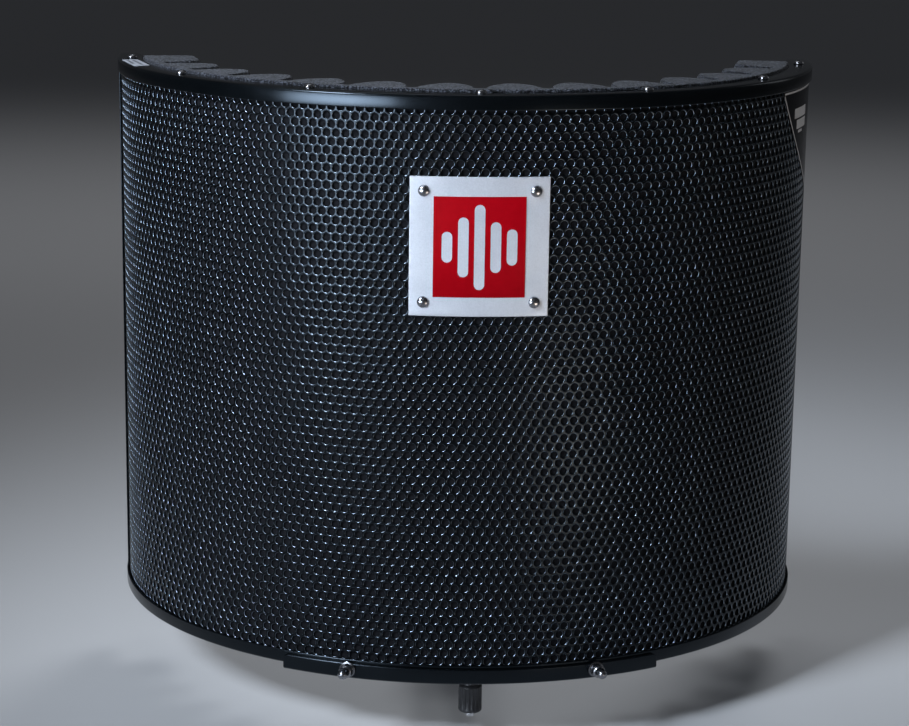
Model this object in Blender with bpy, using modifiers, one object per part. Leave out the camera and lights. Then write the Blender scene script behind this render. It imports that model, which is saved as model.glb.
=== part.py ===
"""Microphone isolation shield: a curved, layered absorber on a slide bar and a stand clamp.

World origin: the axis of the stand tube, half way up the clamp's jaws. The shield's convex,
perforated side faces -Y, its open side faces +Y, and +Z is up. All lengths are in metres.
"""
import math

import bmesh
import bpy
import numpy as np
from mathutils import Matrix, Vector

MM = 0.001
GAP = 0.3 * MM                 # clearance between pieces that touch in the real object

# The wall's plan is half an ellipse; "run" is the length along it from the front,
# "inset" is the distance inwards from the rails' outer face.
HALF_WIDTH = 190.5 * MM
DEPTH = 178.0 * MM
HEIGHT = 298.0 * MM

RAIL_WIDTH = 13.0 * MM
RAIL_SHEET = 1.2 * MM
TOP_SKIRT = 7.5 * MM
BOTTOM_SKIRT = 7.1 * MM
RAIL_CORNER = 4.0 * MM
RAIL_STEPS = 60

END_SHEET = 0.9 * MM
END_INSET = 0.5 * MM
END_FLANGE = 14.0 * MM
END_LIP = 21.6 * MM                    # the end channel's inner flange, which the foam meets

GRILLE = (1.7 * MM, 2.7 * MM)          # inset of each layer's outer and inner face
OUTER_WOOL = (3.0 * MM, 4.2 * MM)
FOIL = (4.5 * MM, 4.8 * MM)
INNER_WOOL = (10.0 * MM, 11.5 * MM)
INNER_GRILLE = (11.8 * MM, 12.8 * MM)
LAYER_STEPS = 44
ROD_INSET = 7.4 * MM
ROD_RADIUS = 2.3 * MM
ROD_BORE = 1.6 * MM

FOAM_BACK = RAIL_WIDTH + GAP
FOAM_VALLEY = 20.0 * MM
FOAM_TIP = 41.5 * MM
FOAM_PROUD = 1.2 * MM                  # foam stands this far above the top rail
FOAM_END = 22.0 * MM                   # foam stops this far short of the rail's end
LOBES = 7                              # lobes on each side of the middle valley
LOBE_PITCH = 37.3 * MM
LOBE_LEAN = 1.8 * MM                   # a lobe's tip leans this far along the wall
VALLEY_WIDTH = 7.0 * MM
LOBE_HALF = (LOBE_PITCH - VALLEY_WIDTH) / 2
LOBE_ROUND = (1.6, 0.48)               # exponents of the lobe's rounded outline
LOBE_SHARES = (-1.0, -0.97, -0.86, -0.65, -0.4, -0.15, 0.15, 0.4, 0.65, 0.86, 0.97, 1.0)

SCREW_PITCH = 89.5 * MM
END_SCREW_RUN = 263.0 * MM
SCREW_HEAD = 2.85 * MM
SCREW_HEIGHT = 1.9 * MM
SCREW_SHANK = 1.3 * MM
SCREW_LENGTH = 9.0 * MM
LOW_HEAD = 1.7 * MM                    # height of the flat heads under the bracket

BADGE_SIDE = 69.3 * MM
BADGE_MIDDLE = 223.5 * MM              # height of the badge's centre
BADGE = (0.6 * MM, 1.4 * MM)
INLAY_SIZE = (45.5 * MM, 50.0 * MM)
INLAY = (0.05 * MM, 0.3 * MM)
RIVET_REACH = 27.6 * MM
RIVET_HEAD = 2.9 * MM
RIVET_HEIGHT = 2.1 * MM
RIVET_SHANK = 1.5 * MM
RIVET_LENGTH = 1.0 * MM

STICKER_INSET = (0.4 * MM, 9.4 * MM)
STICKER_RUN = (-253.5 * MM, -222.5 * MM)
STICKER_THICK = 0.2 * MM
LABEL_START = 193.5 * MM               # the film's lower edge rises towards this end
LABEL_DROP = 0.3 * MM
LABEL_FOOT = 200.0 * MM
LABEL_RISE = 87.0 * MM
LABEL_FADE = 60.0 * MM

BRACKET_HALF_RUN = 100.0 * MM
BRACKET_OUTER = (-2.0 * MM, -0.3 * MM)
BRACKET_TOP = 5.7 * MM
BRACKET_BOTTOM = -2.5 * MM
TONGUE_HALF = 16.0 * MM
TONGUE_TIP = 54.0 * MM
SHOULDER = 4.0 * MM
BRACKET_BOLT_RUN = 64.0 * MM
BRACKET_BOLT_HEIGHT = 2.6 * MM
BRACKET_STUD = 2.0 * MM
BRACKET_STUD_TIP = 10.4 * MM           # measured outwards from the wall's face
BRACKET_WASHER = (2.3 * MM, 3.2 * MM)
BRACKET_WASHER_RADIUS = 4.2 * MM
NUT_BASE = 3.5 * MM
NUT_NECK = 7.0 * MM                    # the nut's wide part ends here
NUT_DOME = 10.2 * MM                   # the cap's round end starts here
NUT_RADIUS = 3.5 * MM
CAP_RADIUS = 2.9 * MM
BRACKET_SCREW_RUN = 16.0 * MM

LOCK_INSET = 21.0 * MM
LOCK_STUD = 3.0 * MM
LOCK_STUD_TIP = -27.6 * MM             # heights below the shield's underside
LOCK_WASHER_RADIUS = 7.0 * MM
LOCK_WASHER_THICK = 1.2 * MM
KNOB_NECK_RADIUS = 4.6 * MM
KNOB_SHOULDER = -9.9 * MM
KNOB_BOTTOM = -24.9 * MM
KNOB_RADIUS = 6.1 * MM
KNOB_ROUND = 1.3 * MM                  # rounding of the knob's two ends

CLAMP_HALF_HEIGHT = 15.0 * MM
BAR_THICK = 4.0 * MM
BAR_WIDTH = 24.0 * MM
SLOT_WIDTH = 8.5 * MM
TUBE_TO_WALL_CENTRE = 25.0 * MM        # the wall's plan centre lies this far in front of the tube
BAR_BOTTOM = CLAMP_HALF_HEIGHT + GAP
BAR_TOP = BAR_BOTTOM + BAR_THICK
SHIELD_Z = BAR_TOP + GAP - BRACKET_BOTTOM
SHIELD_Y = -TUBE_TO_WALL_CENTRE
LOCK_Y = SHIELD_Y - DEPTH + LOCK_INSET
BAR_FRONT = LOCK_Y - 9.0 * MM
BAR_REAR = -22.0 * MM
BAR_BOLTS = (-40.0 * MM, -27.0 * MM)
BAR_BOLT = (4.2 * MM, 2.6 * MM, 2.5 * MM, 15.0 * MM)      # head, height, shank, length
BAR_BOLT_BORE = 2.8 * MM
SLOT_REAR = -56.0 * MM
BAR_CORNER = 4.0 * MM
CARRIAGE_Y = -85.0 * MM

TUBE_RADIUS = 12.5 * MM
VEE_HALF_ANGLE = math.radians(60.0)
LINER = 1.5 * MM
PAD_FACE = 17.0 * MM
ARM = (26.0 * MM, 38.0 * MM)
BLOCK_X = -30.0 * MM
BLOCK_Y = (-46.0 * MM, 16.0 * MM)
THROAT_Y = -18.0 * MM
VEE_HALF = 10.5 * MM
BAR_BOLT_END = 3.0 * MM                # the bolt holes stop this far above the jaws' middle
PAD_THICK = 8.0 * MM
PAD_HALF = 12.0 * MM
JAW_HALF_HEIGHT = 13.0 * MM            # half height of the liner and the pad
THREAD_RADIUS = 4.0 * MM
HUB = (52.0 * MM, 66.0 * MM)
HUB_RADIUS = 7.0 * MM
HANDLE_X = 59.0 * MM
HANDLE_RADIUS = 3.0 * MM
HANDLE_REACH = 30.0 * MM               # from the screw's axis to the middle of each end ball
HANDLE_BALL = 4.5 * MM

SADDLE_LIP = 3.2 * MM
SADDLE_THICK = 3.0 * MM
SADDLE_HALF = 17.0 * MM
POST_RADIUS = 7.9 * MM
POST_TIP = 45.0 * MM
POST_FOOT = (12.0 * MM, 3.0 * MM)      # radius and thickness of the post's foot
SHAFT_END = 1.0 * MM
RING_RADIUS = 13.0 * MM
RING_HEIGHTS = (31.0 * MM, 36.0 * MM)
CARRIAGE_KNOB = (10.4 * MM, 1.0 * MM)  # mean radius and half height of its five lobes
CARRIAGE_KNOB_LOW = 3.0 * MM

BLACK_PAINT = ((0.012, 0.013, 0.015), 0.38, 0.0)
BARE_STEEL = ((0.62, 0.62, 0.63), 0.22, 1.0)
DARK_STEEL = ((0.10, 0.10, 0.11), 0.35, 1.0)
BLACK_PLASTIC = ((0.018, 0.018, 0.02), 0.5, 0.0)


# ---------------------------------------------------------------- scene and helpers

def empty_the_scene():
    for thing in list(bpy.data.objects):
        bpy.data.objects.remove(thing, do_unlink=True)


def make_collection(name):
    collection = bpy.data.collections.new(name)
    bpy.context.scene.collection.children.link(collection)
    return collection


def make_material(name, look):
    colour, roughness, metallic = look
    material = bpy.data.materials.new(name)
    material.use_nodes = True
    shader = material.node_tree.nodes["Principled BSDF"]
    shader.inputs["Base Color"].default_value = (*colour, 1.0)
    shader.inputs["Roughness"].default_value = roughness
    shader.inputs["Metallic"].default_value = metallic
    return material


empty_the_scene()
PARTS = make_collection("microphone_isolation_shield")
CUTTERS = make_collection("cutters")
SHIELD = bpy.data.objects.new("shield_frame", None)
SHIELD.location = (0.0, SHIELD_Y, SHIELD_Z)
PARTS.objects.link(SHIELD)


def add_object(name, bm, look, parent=None, location=(0.0, 0.0, 0.0)):
    mesh = bpy.data.meshes.new(name)
    bm.to_mesh(mesh)
    bm.free()
    thing = bpy.data.objects.new(name, mesh)
    thing.location = location
    thing.parent = parent
    thing.data.materials.append(make_material(name, look))
    PARTS.objects.link(thing)
    return thing


def aim(thing, direction):
    """Turn a piece so that its own +Z points along a direction."""
    thing.rotation_euler = Vector((0.0, 0.0, 1.0)).rotation_difference(direction).to_euler()


def wall_table():
    angle = np.linspace(-math.pi / 2, math.pi / 2, 4001)
    steps = np.hypot(np.diff(HALF_WIDTH * np.sin(angle)), np.diff(DEPTH * np.cos(angle)))
    run = np.concatenate(([0.0], np.cumsum(steps)))
    return angle, run - run[-1] / 2


ANGLES, RUNS = wall_table()
WALL_END = float(RUNS[-1])


def wall_normal(run):
    t = float(np.interp(run, RUNS, ANGLES))
    return Vector((DEPTH * math.sin(t), -HALF_WIDTH * math.cos(t), 0.0)).normalized()


def wall_point(run, inset, z=0.0):
    t = float(np.interp(run, RUNS, ANGLES))
    on_wall = Vector((HALF_WIDTH * math.sin(t), -DEPTH * math.cos(t), z))
    return on_wall - wall_normal(run) * inset


def even_runs(start, stop, steps):
    return [start + (stop - start) * i / steps for i in range(steps + 1)]


def sweep(section, runs):
    """A closed solid whose section, a function of the run, is carried along the wall."""
    bm = bmesh.new()
    rings = []
    for run in runs:
        rings.append([bm.verts.new(wall_point(run, inset, z)) for inset, z in section(run)])
    count = len(rings[0])
    for near, far in zip(rings, rings[1:]):
        for k in range(count):
            m = (k + 1) % count
            bm.faces.new((near[k], near[m], far[m], far[k]))
    bm.faces.new(rings[0][::-1])
    bm.faces.new(rings[-1])
    bmesh.ops.recalc_face_normals(bm, faces=bm.faces)
    return bm


def band(layer, low, high, start, stop, steps):
    outer, inner = layer
    section = [(outer, low), (inner, low), (inner, high), (outer, high)]
    return sweep(lambda run: section, even_runs(start, stop, steps))


def slab(outline, low, high):
    """A flat outline in XY, thickened from low to high."""
    bm = bmesh.new()
    face = bm.faces.new([bm.verts.new((x, y, low)) for x, y in outline])
    top = bmesh.ops.extrude_face_region(bm, geom=[face])
    verts = [v for v in top["geom"] if isinstance(v, bmesh.types.BMVert)]
    bmesh.ops.translate(bm, verts=verts, vec=(0.0, 0.0, high - low))
    bmesh.ops.recalc_face_normals(bm, faces=bm.faces)
    return bm


def cylinder(radius, low, high, segments=24):
    bm = bmesh.new()
    bmesh.ops.create_cone(bm, cap_ends=True, segments=segments, radius1=radius,
                          radius2=radius, depth=high - low)
    bmesh.ops.translate(bm, verts=bm.verts, vec=(0.0, 0.0, (low + high) / 2))
    return bm


def turned(name, profile, look, closed=False, steps=24, parent=None, location=(0.0, 0.0, 0.0)):
    """A (radius, z) profile, listed down its outer side, turned about the piece's own Z."""
    bm = bmesh.new()
    verts = [bm.verts.new((radius, 0.0, z)) for radius, z in profile]
    for first, second in zip(verts, verts[1:]):
        bm.edges.new((first, second))
    if closed:
        bm.edges.new((verts[-1], verts[0]))
    thing = add_object(name, bm, look, parent, location)
    screw = thing.modifiers.new("turn", "SCREW")
    screw.axis = "Z"
    screw.steps = steps
    screw.render_steps = steps
    screw.use_merge_vertices = True
    screw.merge_threshold = 0.00001
    return thing


def ring_profile(bore, radius, low, high):
    return [(radius, high), (radius, low), (bore, low), (bore, high)]


def dome_profile(radius, height, base, points=6):
    """From the top of a dome on the axis down to its rim."""
    profile = []
    for i in range(points):
        t = math.pi / 2 * i / (points - 1)
        profile.append((radius * math.sin(t), base + height * math.cos(t)))
    return profile


def cut(thing, bm, location=(0.0, 0.0, 0.0), direction=None):
    """Take a solid, placed in the piece's own frame, away from the piece."""
    mesh = bpy.data.meshes.new("cutter")
    bm.to_mesh(mesh)
    bm.free()
    cutter = bpy.data.objects.new("cutter_" + thing.name, mesh)
    cutter.parent = thing
    cutter.location = location
    if direction is not None:
        aim(cutter, direction)
    cutter.hide_render = True
    cutter.display_type = "WIRE"
    CUTTERS.objects.link(cutter)
    boolean = thing.modifiers.new("cut", "BOOLEAN")
    boolean.operation = "DIFFERENCE"
    boolean.solver = "EXACT"
    boolean.object = cutter


def stadium(width, low, high, points=10):
    """Outline of a slot along Y whose round ends are centred on low and high."""
    outline = []
    for centre, start in ((high, 0.0), (low, math.pi)):
        for i in range(points + 1):
            t = start + math.pi * i / points
            outline.append((width / 2 * math.cos(t), centre + width / 2 * math.sin(t)))
    return outline


def rounded_rectangle(left, right, front, rear, radius, points=4):
    corners = ((right, rear, 0), (left, rear, 1), (left, front, 2), (right, front, 3))
    outline = []
    for x, y, quarter in corners:
        cx = x - radius if quarter in (0, 3) else x + radius
        cy = y - radius if quarter in (0, 1) else y + radius
        for i in range(points + 1):
            t = math.pi / 2 * (quarter + i / points)
            outline.append((cx + radius * math.cos(t), cy + radius * math.sin(t)))
    return outline


# ---------------------------------------------------------------- wall

def make_layers():
    low = RAIL_SHEET + GAP
    high = HEIGHT - RAIL_SHEET - GAP
    reach = WALL_END - END_INSET - END_SHEET - GAP
    wool = ((0.05, 0.05, 0.055), 0.95, 0.0)
    foil = ((0.80, 0.80, 0.82), 0.25, 1.0)
    layers = (("outer_grille", GRILLE, BLACK_PAINT), ("outer_wool", OUTER_WOOL, wool),
              ("foil_barrier", FOIL, foil), ("inner_wool", INNER_WOOL, wool))
    for name, layer, look in layers:
        bm = band(layer, low, high, -reach, reach, LAYER_STEPS)
        add_object(name, bm, look, SHIELD)
    reach = WALL_END - END_LIP - GAP
    bm = band(INNER_GRILLE, BOTTOM_SKIRT + GAP, HEIGHT - TOP_SKIRT - GAP, -reach, reach, LAYER_STEPS)
    add_object("inner_grille", bm, ((0.55, 0.56, 0.58), 0.35, 1.0), SHIELD)


def lobe_points(middle, outer_half):
    """One foam lobe's outline, leaning along the wall; outer_half is its half away from the middle."""
    points = []
    for share in LOBE_SHARES:
        outer = share * middle > 0
        half = outer_half if outer else LOBE_HALF
        square = outer and outer_half > LOBE_HALF
        rise = 1.0 if square else (1.0 - abs(share) ** LOBE_ROUND[0]) ** LOBE_ROUND[1]
        inset = FOAM_VALLEY + (FOAM_TIP - FOAM_VALLEY) * rise
        points.append((middle + half * share + LOBE_LEAN * rise, inset))
    return points


def make_foam():
    """Leaning round lobes between narrow flat valleys; the last lobes are cut off square."""
    reach = WALL_END - FOAM_END
    end_half = reach - LOBE_LEAN - (LOBES - 0.5) * LOBE_PITCH
    inner = []
    for i in range(-LOBES, LOBES):
        last = i in (-LOBES, LOBES - 1)
        inner += lobe_points((i + 0.5) * LOBE_PITCH, end_half if last else LOBE_HALF)
    inner = [wall_point(run, inset) for run, inset in reversed(inner)]
    outer = [wall_point(run, FOAM_BACK) for run in even_runs(-reach, reach, LAYER_STEPS)]
    outline = [(point.x, point.y) for point in outer + inner]
    bm = slab(outline, 0.0, HEIGHT + FOAM_PROUD)
    add_object("foam_absorber", bm, ((0.07, 0.07, 0.078), 0.95, 0.0), SHIELD)


def make_rail(name, low, high, open_end, skirt):
    """A channel of folded sheet: a solid bar with round end corners, hollowed from one side."""
    bm = band((0.0, RAIL_WIDTH), low, high, -WALL_END, WALL_END, RAIL_STEPS)
    ends = [edge for edge in bm.edges if all(abs(v.co.y) < 1e-6 for v in edge.verts)
            and abs(edge.verts[0].co.z - edge.verts[1].co.z) > skirt / 2
            and max(abs(v.co.x) for v in edge.verts) > HALF_WIDTH - MM]
    bmesh.ops.bevel(bm, geom=ends, offset=RAIL_CORNER, segments=4, profile=0.5, affect="EDGES")
    rail = add_object(name, bm, BLACK_PAINT, SHIELD)
    void = (RAIL_SHEET, RAIL_WIDTH - RAIL_SHEET)
    reach = WALL_END - RAIL_SHEET
    floor = high - RAIL_SHEET if open_end < 0 else low + RAIL_SHEET
    mouth = low - 2 * MM if open_end < 0 else high + 2 * MM
    cut(rail, band(void, min(floor, mouth), max(floor, mouth), -reach, reach, LAYER_STEPS))
    return rail


def make_end_channel(name, side):
    """A U of thin sheet that closes the layers at one end of the wall."""
    outer_inset = END_INSET
    inner_inset = RAIL_WIDTH - GAP
    rear = WALL_END - END_INSET
    flange = even_runs(WALL_END - END_FLANGE, rear, 3)
    lip = even_runs(WALL_END - END_LIP, rear, 4)
    path = [wall_point(run, outer_inset) for run in flange]
    path += [wall_point(run, inner_inset) for run in reversed(lip)]
    path += [wall_point(run, inner_inset - END_SHEET) for run in lip[:-1] + [rear - END_SHEET]]
    path += [wall_point(run, outer_inset + END_SHEET)
             for run in [rear - END_SHEET] + flange[-2::-1]]
    outline = [(side * point.x, point.y) for point in path]
    bm = slab(outline, BOTTOM_SKIRT + GAP, HEIGHT - TOP_SKIRT - GAP)
    add_object(name, bm, BLACK_PAINT, SHIELD)


def screw_profile(head, height, shank, length, base):
    """A domed head above base and a plain shank below it."""
    profile = dome_profile(head, height * 0.72, base + height * 0.28)
    return profile + [(head, base), (shank, base), (shank, base - length), (0.0, base - length)]


def make_rod(number, run):
    low = RAIL_SHEET + GAP
    high = HEIGHT - RAIL_SHEET - GAP
    at = wall_point(run, ROD_INSET)
    turned("tie_rod_%d" % number, ring_profile(ROD_BORE, ROD_RADIUS, low, high),
           BARE_STEEL, closed=True, steps=12, parent=SHIELD, location=at)


def make_rail_screws(rail, prefix, runs, face, up):
    """Screws through a rail's flange; face is the flange's outer side, up is +1 or -1."""
    profile = screw_profile(SCREW_HEAD, SCREW_HEIGHT, SCREW_SHANK, SCREW_LENGTH, GAP)
    for number, run in enumerate(runs, start=1):
        at = wall_point(run, ROD_INSET, face)
        screw = turned("%s_%d" % (prefix, number), profile, BARE_STEEL, steps=14,
                       parent=SHIELD, location=at)
        aim(screw, Vector((0.0, 0.0, up)))
        hole = cylinder(ROD_BORE, face - 3 * MM, face + 3 * MM, 12)
        cut(rail, hole, location=wall_point(run, ROD_INSET))


# ---------------------------------------------------------------- badge and labels

def make_badge():
    low = BADGE_MIDDLE - BADGE_SIDE / 2
    high = BADGE_MIDDLE + BADGE_SIDE / 2
    bm = band(BADGE, low, high, -BADGE_SIDE / 2, BADGE_SIDE / 2, 14)
    plate = add_object("badge_plate", bm, ((0.74, 0.75, 0.78), 0.32, 1.0), SHIELD)
    width, height = INLAY_SIZE
    bm = band(INLAY, BADGE_MIDDLE - height / 2, BADGE_MIDDLE + height / 2, -width / 2, width / 2, 10)
    add_object("badge_inlay", bm, ((0.55, 0.004, 0.018), 0.4, 0.0), SHIELD)
    profile = screw_profile(RIVET_HEAD, RIVET_HEIGHT, RIVET_SHANK, RIVET_LENGTH, GAP)
    number = 0
    for up in (1, -1):
        for side in (-1, 1):
            number += 1
            run = side * RIVET_REACH
            at = wall_point(run, BADGE[0], BADGE_MIDDLE + up * RIVET_REACH)
            rivet = turned("badge_rivet_%d" % number, profile, BARE_STEEL, steps=16,
                           parent=SHIELD, location=at)
            aim(rivet, wall_normal(run))
            hole = cylinder(RIVET_SHANK + GAP, -4 * MM, 4 * MM, 16)
            cut(plate, hole, location=at, direction=wall_normal(run))


def make_labels():
    low = HEIGHT + GAP
    bm = band(STICKER_INSET, low, low + STICKER_THICK, *STICKER_RUN, 5)
    add_object("corner_sticker", bm, ((0.78, 0.80, 0.84), 0.5, 0.0), SHIELD)

    top = HEIGHT - TOP_SKIRT - LABEL_DROP
    stop = WALL_END - END_FLANGE - GAP
    inner = GRILLE[0] - GAP
    outer = inner - STICKER_THICK

    def section(run):
        bottom = LABEL_FOOT + LABEL_RISE * math.exp((LABEL_START - run) / LABEL_FADE)
        return [(outer, bottom), (inner, bottom), (inner, top), (outer, top)]

    bm = sweep(section, even_runs(LABEL_START, stop, 12))
    add_object("info_label", bm, ((0.01, 0.01, 0.012), 0.2, 0.0), SHIELD)


# ---------------------------------------------------------------- mount bracket

def tongue_inset(run):
    """The bracket plate's inner edge: the rail's width, and a long tongue at the middle."""
    share = min(max((abs(run) - TONGUE_HALF) / SHOULDER, 0.0), 1.0)
    smooth = share * share * (3 - 2 * share)
    return TONGUE_TIP + (RAIL_WIDTH - TONGUE_TIP) * smooth


def bracket_section(run):
    outer, inner = BRACKET_OUTER
    edge = tongue_inset(run)
    return [(outer, BRACKET_TOP), (outer, BRACKET_BOTTOM), (edge, BRACKET_BOTTOM),
            (edge, -GAP), (inner, -GAP), (inner, BRACKET_TOP)]


def make_bracket(bottom_rail):
    shoulder = TONGUE_HALF + SHOULDER
    bend = even_runs(TONGUE_HALF, shoulder, 4)
    middle = even_runs(-TONGUE_HALF, TONGUE_HALF, 4)[1:-1]
    flank = even_runs(shoulder, BRACKET_HALF_RUN, 8)[1:]
    right = bend + flank
    bm = sweep(bracket_section, [-run for run in reversed(right)] + middle + right)
    bracket = add_object("mount_bracket", bm, BLACK_PAINT, SHIELD)
    for number, side in enumerate((-1, 1), start=1):
        run = side * BRACKET_BOLT_RUN
        outwards = wall_normal(run)
        at = wall_point(run, 0.0, BRACKET_BOLT_HEIGHT)
        for piece in (bracket, bottom_rail):
            hole = cylinder(BRACKET_STUD + GAP, -1.6 * MM, 4 * MM, 16)
            cut(piece, hole, location=at, direction=outwards)
        profile = [(0.0, BRACKET_STUD_TIP), (BRACKET_STUD, BRACKET_STUD_TIP), (BRACKET_STUD, -MM),
                   (0.0, -MM)]
        stud = turned("bracket_stud_%d" % number, profile, BARE_STEEL, steps=16,
                      parent=SHIELD, location=at)
        bore = BRACKET_STUD + GAP
        washer = turned("bracket_washer_%d" % number,
                        ring_profile(bore, BRACKET_WASHER_RADIUS, *BRACKET_WASHER),
                        BARE_STEEL, closed=True, parent=SHIELD, location=at)
        bore_end = BRACKET_STUD_TIP + GAP
        nut = dome_profile(CAP_RADIUS, CAP_RADIUS, NUT_DOME)
        nut += [(CAP_RADIUS, NUT_NECK), (NUT_RADIUS, NUT_NECK), (NUT_RADIUS, NUT_BASE)]
        nut += [(bore, NUT_BASE), (bore, bore_end), (0.0, bore_end)]
        nut = turned("bracket_nut_%d" % number, nut, BARE_STEEL, steps=18,
                     parent=SHIELD, location=at)
        for piece in (stud, washer, nut):
            aim(piece, outwards)
    profile = screw_profile(SCREW_HEAD, LOW_HEAD, SCREW_SHANK, SCREW_LENGTH, GAP)
    for number, side in enumerate((-1, 1), start=1):
        at = wall_point(side * BRACKET_SCREW_RUN, ROD_INSET, BRACKET_BOTTOM)
        screw = turned("bracket_screw_%d" % number, profile, BARE_STEEL, steps=16,
                       parent=SHIELD, location=at)
        aim(screw, Vector((0.0, 0.0, -1.0)))
        for piece in (bracket, bottom_rail):
            cut(piece, cylinder(ROD_BORE, -4 * MM, 3 * MM, 16),
                location=wall_point(side * BRACKET_SCREW_RUN, ROD_INSET))
    return bracket


def make_lock(bracket):
    """The stud, washer and knob that clamp the bracket's tongue to the slide bar."""
    at = wall_point(0.0, LOCK_INSET)
    cut(bracket, cylinder(LOCK_STUD + GAP, -4 * MM, 2 * MM), location=at)
    washer_top = BRACKET_BOTTOM - BAR_THICK - 2 * GAP
    washer_low = washer_top - LOCK_WASHER_THICK
    chamfer = LOCK_STUD * 0.3
    stud = [(0.0, -2 * GAP), (LOCK_STUD, -2 * GAP), (LOCK_STUD, LOCK_STUD_TIP + chamfer),
            (LOCK_STUD - chamfer, LOCK_STUD_TIP), (0.0, LOCK_STUD_TIP)]
    turned("lock_stud", stud, BARE_STEEL, parent=SHIELD, location=at)
    bore = LOCK_STUD + GAP
    washer = ring_profile(bore, LOCK_WASHER_RADIUS, washer_low, washer_top)
    turned("lock_washer", washer, BARE_STEEL, closed=True, parent=SHIELD, location=at)
    knob = [(KNOB_NECK_RADIUS, washer_low - GAP), (KNOB_NECK_RADIUS, KNOB_SHOULDER)]
    for end, inwards in ((KNOB_SHOULDER, -1), (KNOB_BOTTOM, 1)):
        rounding = []
        for i in range(4):
            t = math.pi / 2 * i / 3
            radius = KNOB_RADIUS - KNOB_ROUND * (1 - math.sin(t))
            rounding.append((radius, end + inwards * KNOB_ROUND * (1 - math.cos(t))))
        knob += rounding[::-inwards]
    knob += [(bore, KNOB_BOTTOM), (bore, washer_low - GAP)]
    turned("lock_knob", knob, BLACK_PLASTIC, closed=True, parent=SHIELD, location=at)


# ---------------------------------------------------------------- slide bar and clamp

def make_bar():
    outline = rounded_rectangle(-BAR_WIDTH / 2, BAR_WIDTH / 2, BAR_FRONT, BAR_REAR, BAR_CORNER)
    bar = add_object("slide_bar", slab(outline, BAR_BOTTOM, BAR_TOP), DARK_STEEL)
    slot = stadium(SLOT_WIDTH, LOCK_Y, SLOT_REAR)
    cut(bar, slab(slot, BAR_BOTTOM - MM, BAR_TOP + MM))
    profile = screw_profile(*BAR_BOLT, GAP)
    for number, y in enumerate(BAR_BOLTS, start=1):
        turned("bar_bolt_%d" % number, profile, BARE_STEEL, steps=18, location=(0.0, y, BAR_TOP))
        cut(bar, cylinder(BAR_BOLT_BORE, BAR_BOTTOM - MM, BAR_TOP + MM), location=(0.0, y, 0.0))


def vee_point(offset, y):
    """A point on the jaw's V, moved away from the tube by offset."""
    apex = -(TUBE_RADIUS + offset) / math.sin(VEE_HALF_ANGLE)
    return apex + abs(y) / math.tan(VEE_HALF_ANGLE), y


def make_clamp():
    front, rear = BLOCK_Y
    wall = LINER + GAP
    face_x = vee_point(wall, VEE_HALF)[0]
    inner, outer = ARM
    outline = [(BLOCK_X, front), (outer, front), (outer, rear), (inner, rear), (inner, THROAT_Y),
               (face_x, THROAT_Y), vee_point(wall, -VEE_HALF), vee_point(wall, 0.0),
               vee_point(wall, VEE_HALF), (face_x, rear), (BLOCK_X, rear)]
    block = add_object("clamp_block", slab(outline, -CLAMP_HALF_HEIGHT, CLAMP_HALF_HEIGHT), BLACK_PAINT)
    arm_thick = outer - inner
    cut(block, cylinder(THREAD_RADIUS + GAP, -arm_thick, arm_thick),
        location=((inner + outer) / 2, 0.0, 0.0), direction=Vector((1.0, 0.0, 0.0)))
    for y in BAR_BOLTS:
        cut(block, cylinder(BAR_BOLT_BORE, BAR_BOLT_END, CLAMP_HALF_HEIGHT + MM), location=(0.0, y, 0.0))
    edge = VEE_HALF - GAP
    strip = [vee_point(LINER, y) for y in (-edge, 0.0, edge)]
    strip += [vee_point(0.0, y) for y in (edge, 0.0, -edge)]
    rubber = ((0.03, 0.03, 0.03), 0.85, 0.0)
    add_object("jaw_liner", slab(strip, -JAW_HALF_HEIGHT, JAW_HALF_HEIGHT), rubber)


def make_clamp_screw():
    along = Vector((1.0, 0.0, 0.0))
    outline = rounded_rectangle(0.0, PAD_THICK, -PAD_HALF, PAD_HALF, MM)
    bm = slab(outline, -JAW_HALF_HEIGHT, JAW_HALF_HEIGHT)
    pad = add_object("clamp_pad", bm, DARK_STEEL, location=(PAD_FACE, 0.0, 0.0))
    cut(pad, cylinder(THREAD_RADIUS + GAP, PAD_THICK / 2, PAD_THICK + MM), direction=along)
    start = PAD_FACE + PAD_THICK / 2 + GAP
    hub, end = HUB
    profile = [(0.0, end), (HUB_RADIUS - MM, end), (HUB_RADIUS, end - MM), (HUB_RADIUS, hub + MM),
               (HUB_RADIUS - MM, hub), (THREAD_RADIUS, hub), (THREAD_RADIUS, start + MM),
               (THREAD_RADIUS - MM, start), (0.0, start)]
    screw = turned("clamp_screw", profile, BARE_STEEL)
    aim(screw, along)
    sideways = Vector((0.0, 1.0, 0.0))
    cut(screw, cylinder(HANDLE_RADIUS + GAP, -2 * HUB_RADIUS, 2 * HUB_RADIUS),
        location=(0.0, 0.0, HANDLE_X), direction=sideways)
    top = dome_profile(HANDLE_BALL, HANDLE_BALL, HANDLE_REACH, 5)
    neck = HANDLE_REACH - math.sqrt(HANDLE_BALL ** 2 - HANDLE_RADIUS ** 2)
    rod = top + [(HANDLE_RADIUS, neck), (HANDLE_RADIUS, -neck)]
    rod += [(radius, -z) for radius, z in reversed(top)]
    handle = turned("clamp_handle", rod, BARE_STEEL, steps=18, location=(HANDLE_X, 0.0, 0.0))
    aim(handle, sideways)


# ---------------------------------------------------------------- microphone carriage

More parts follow.
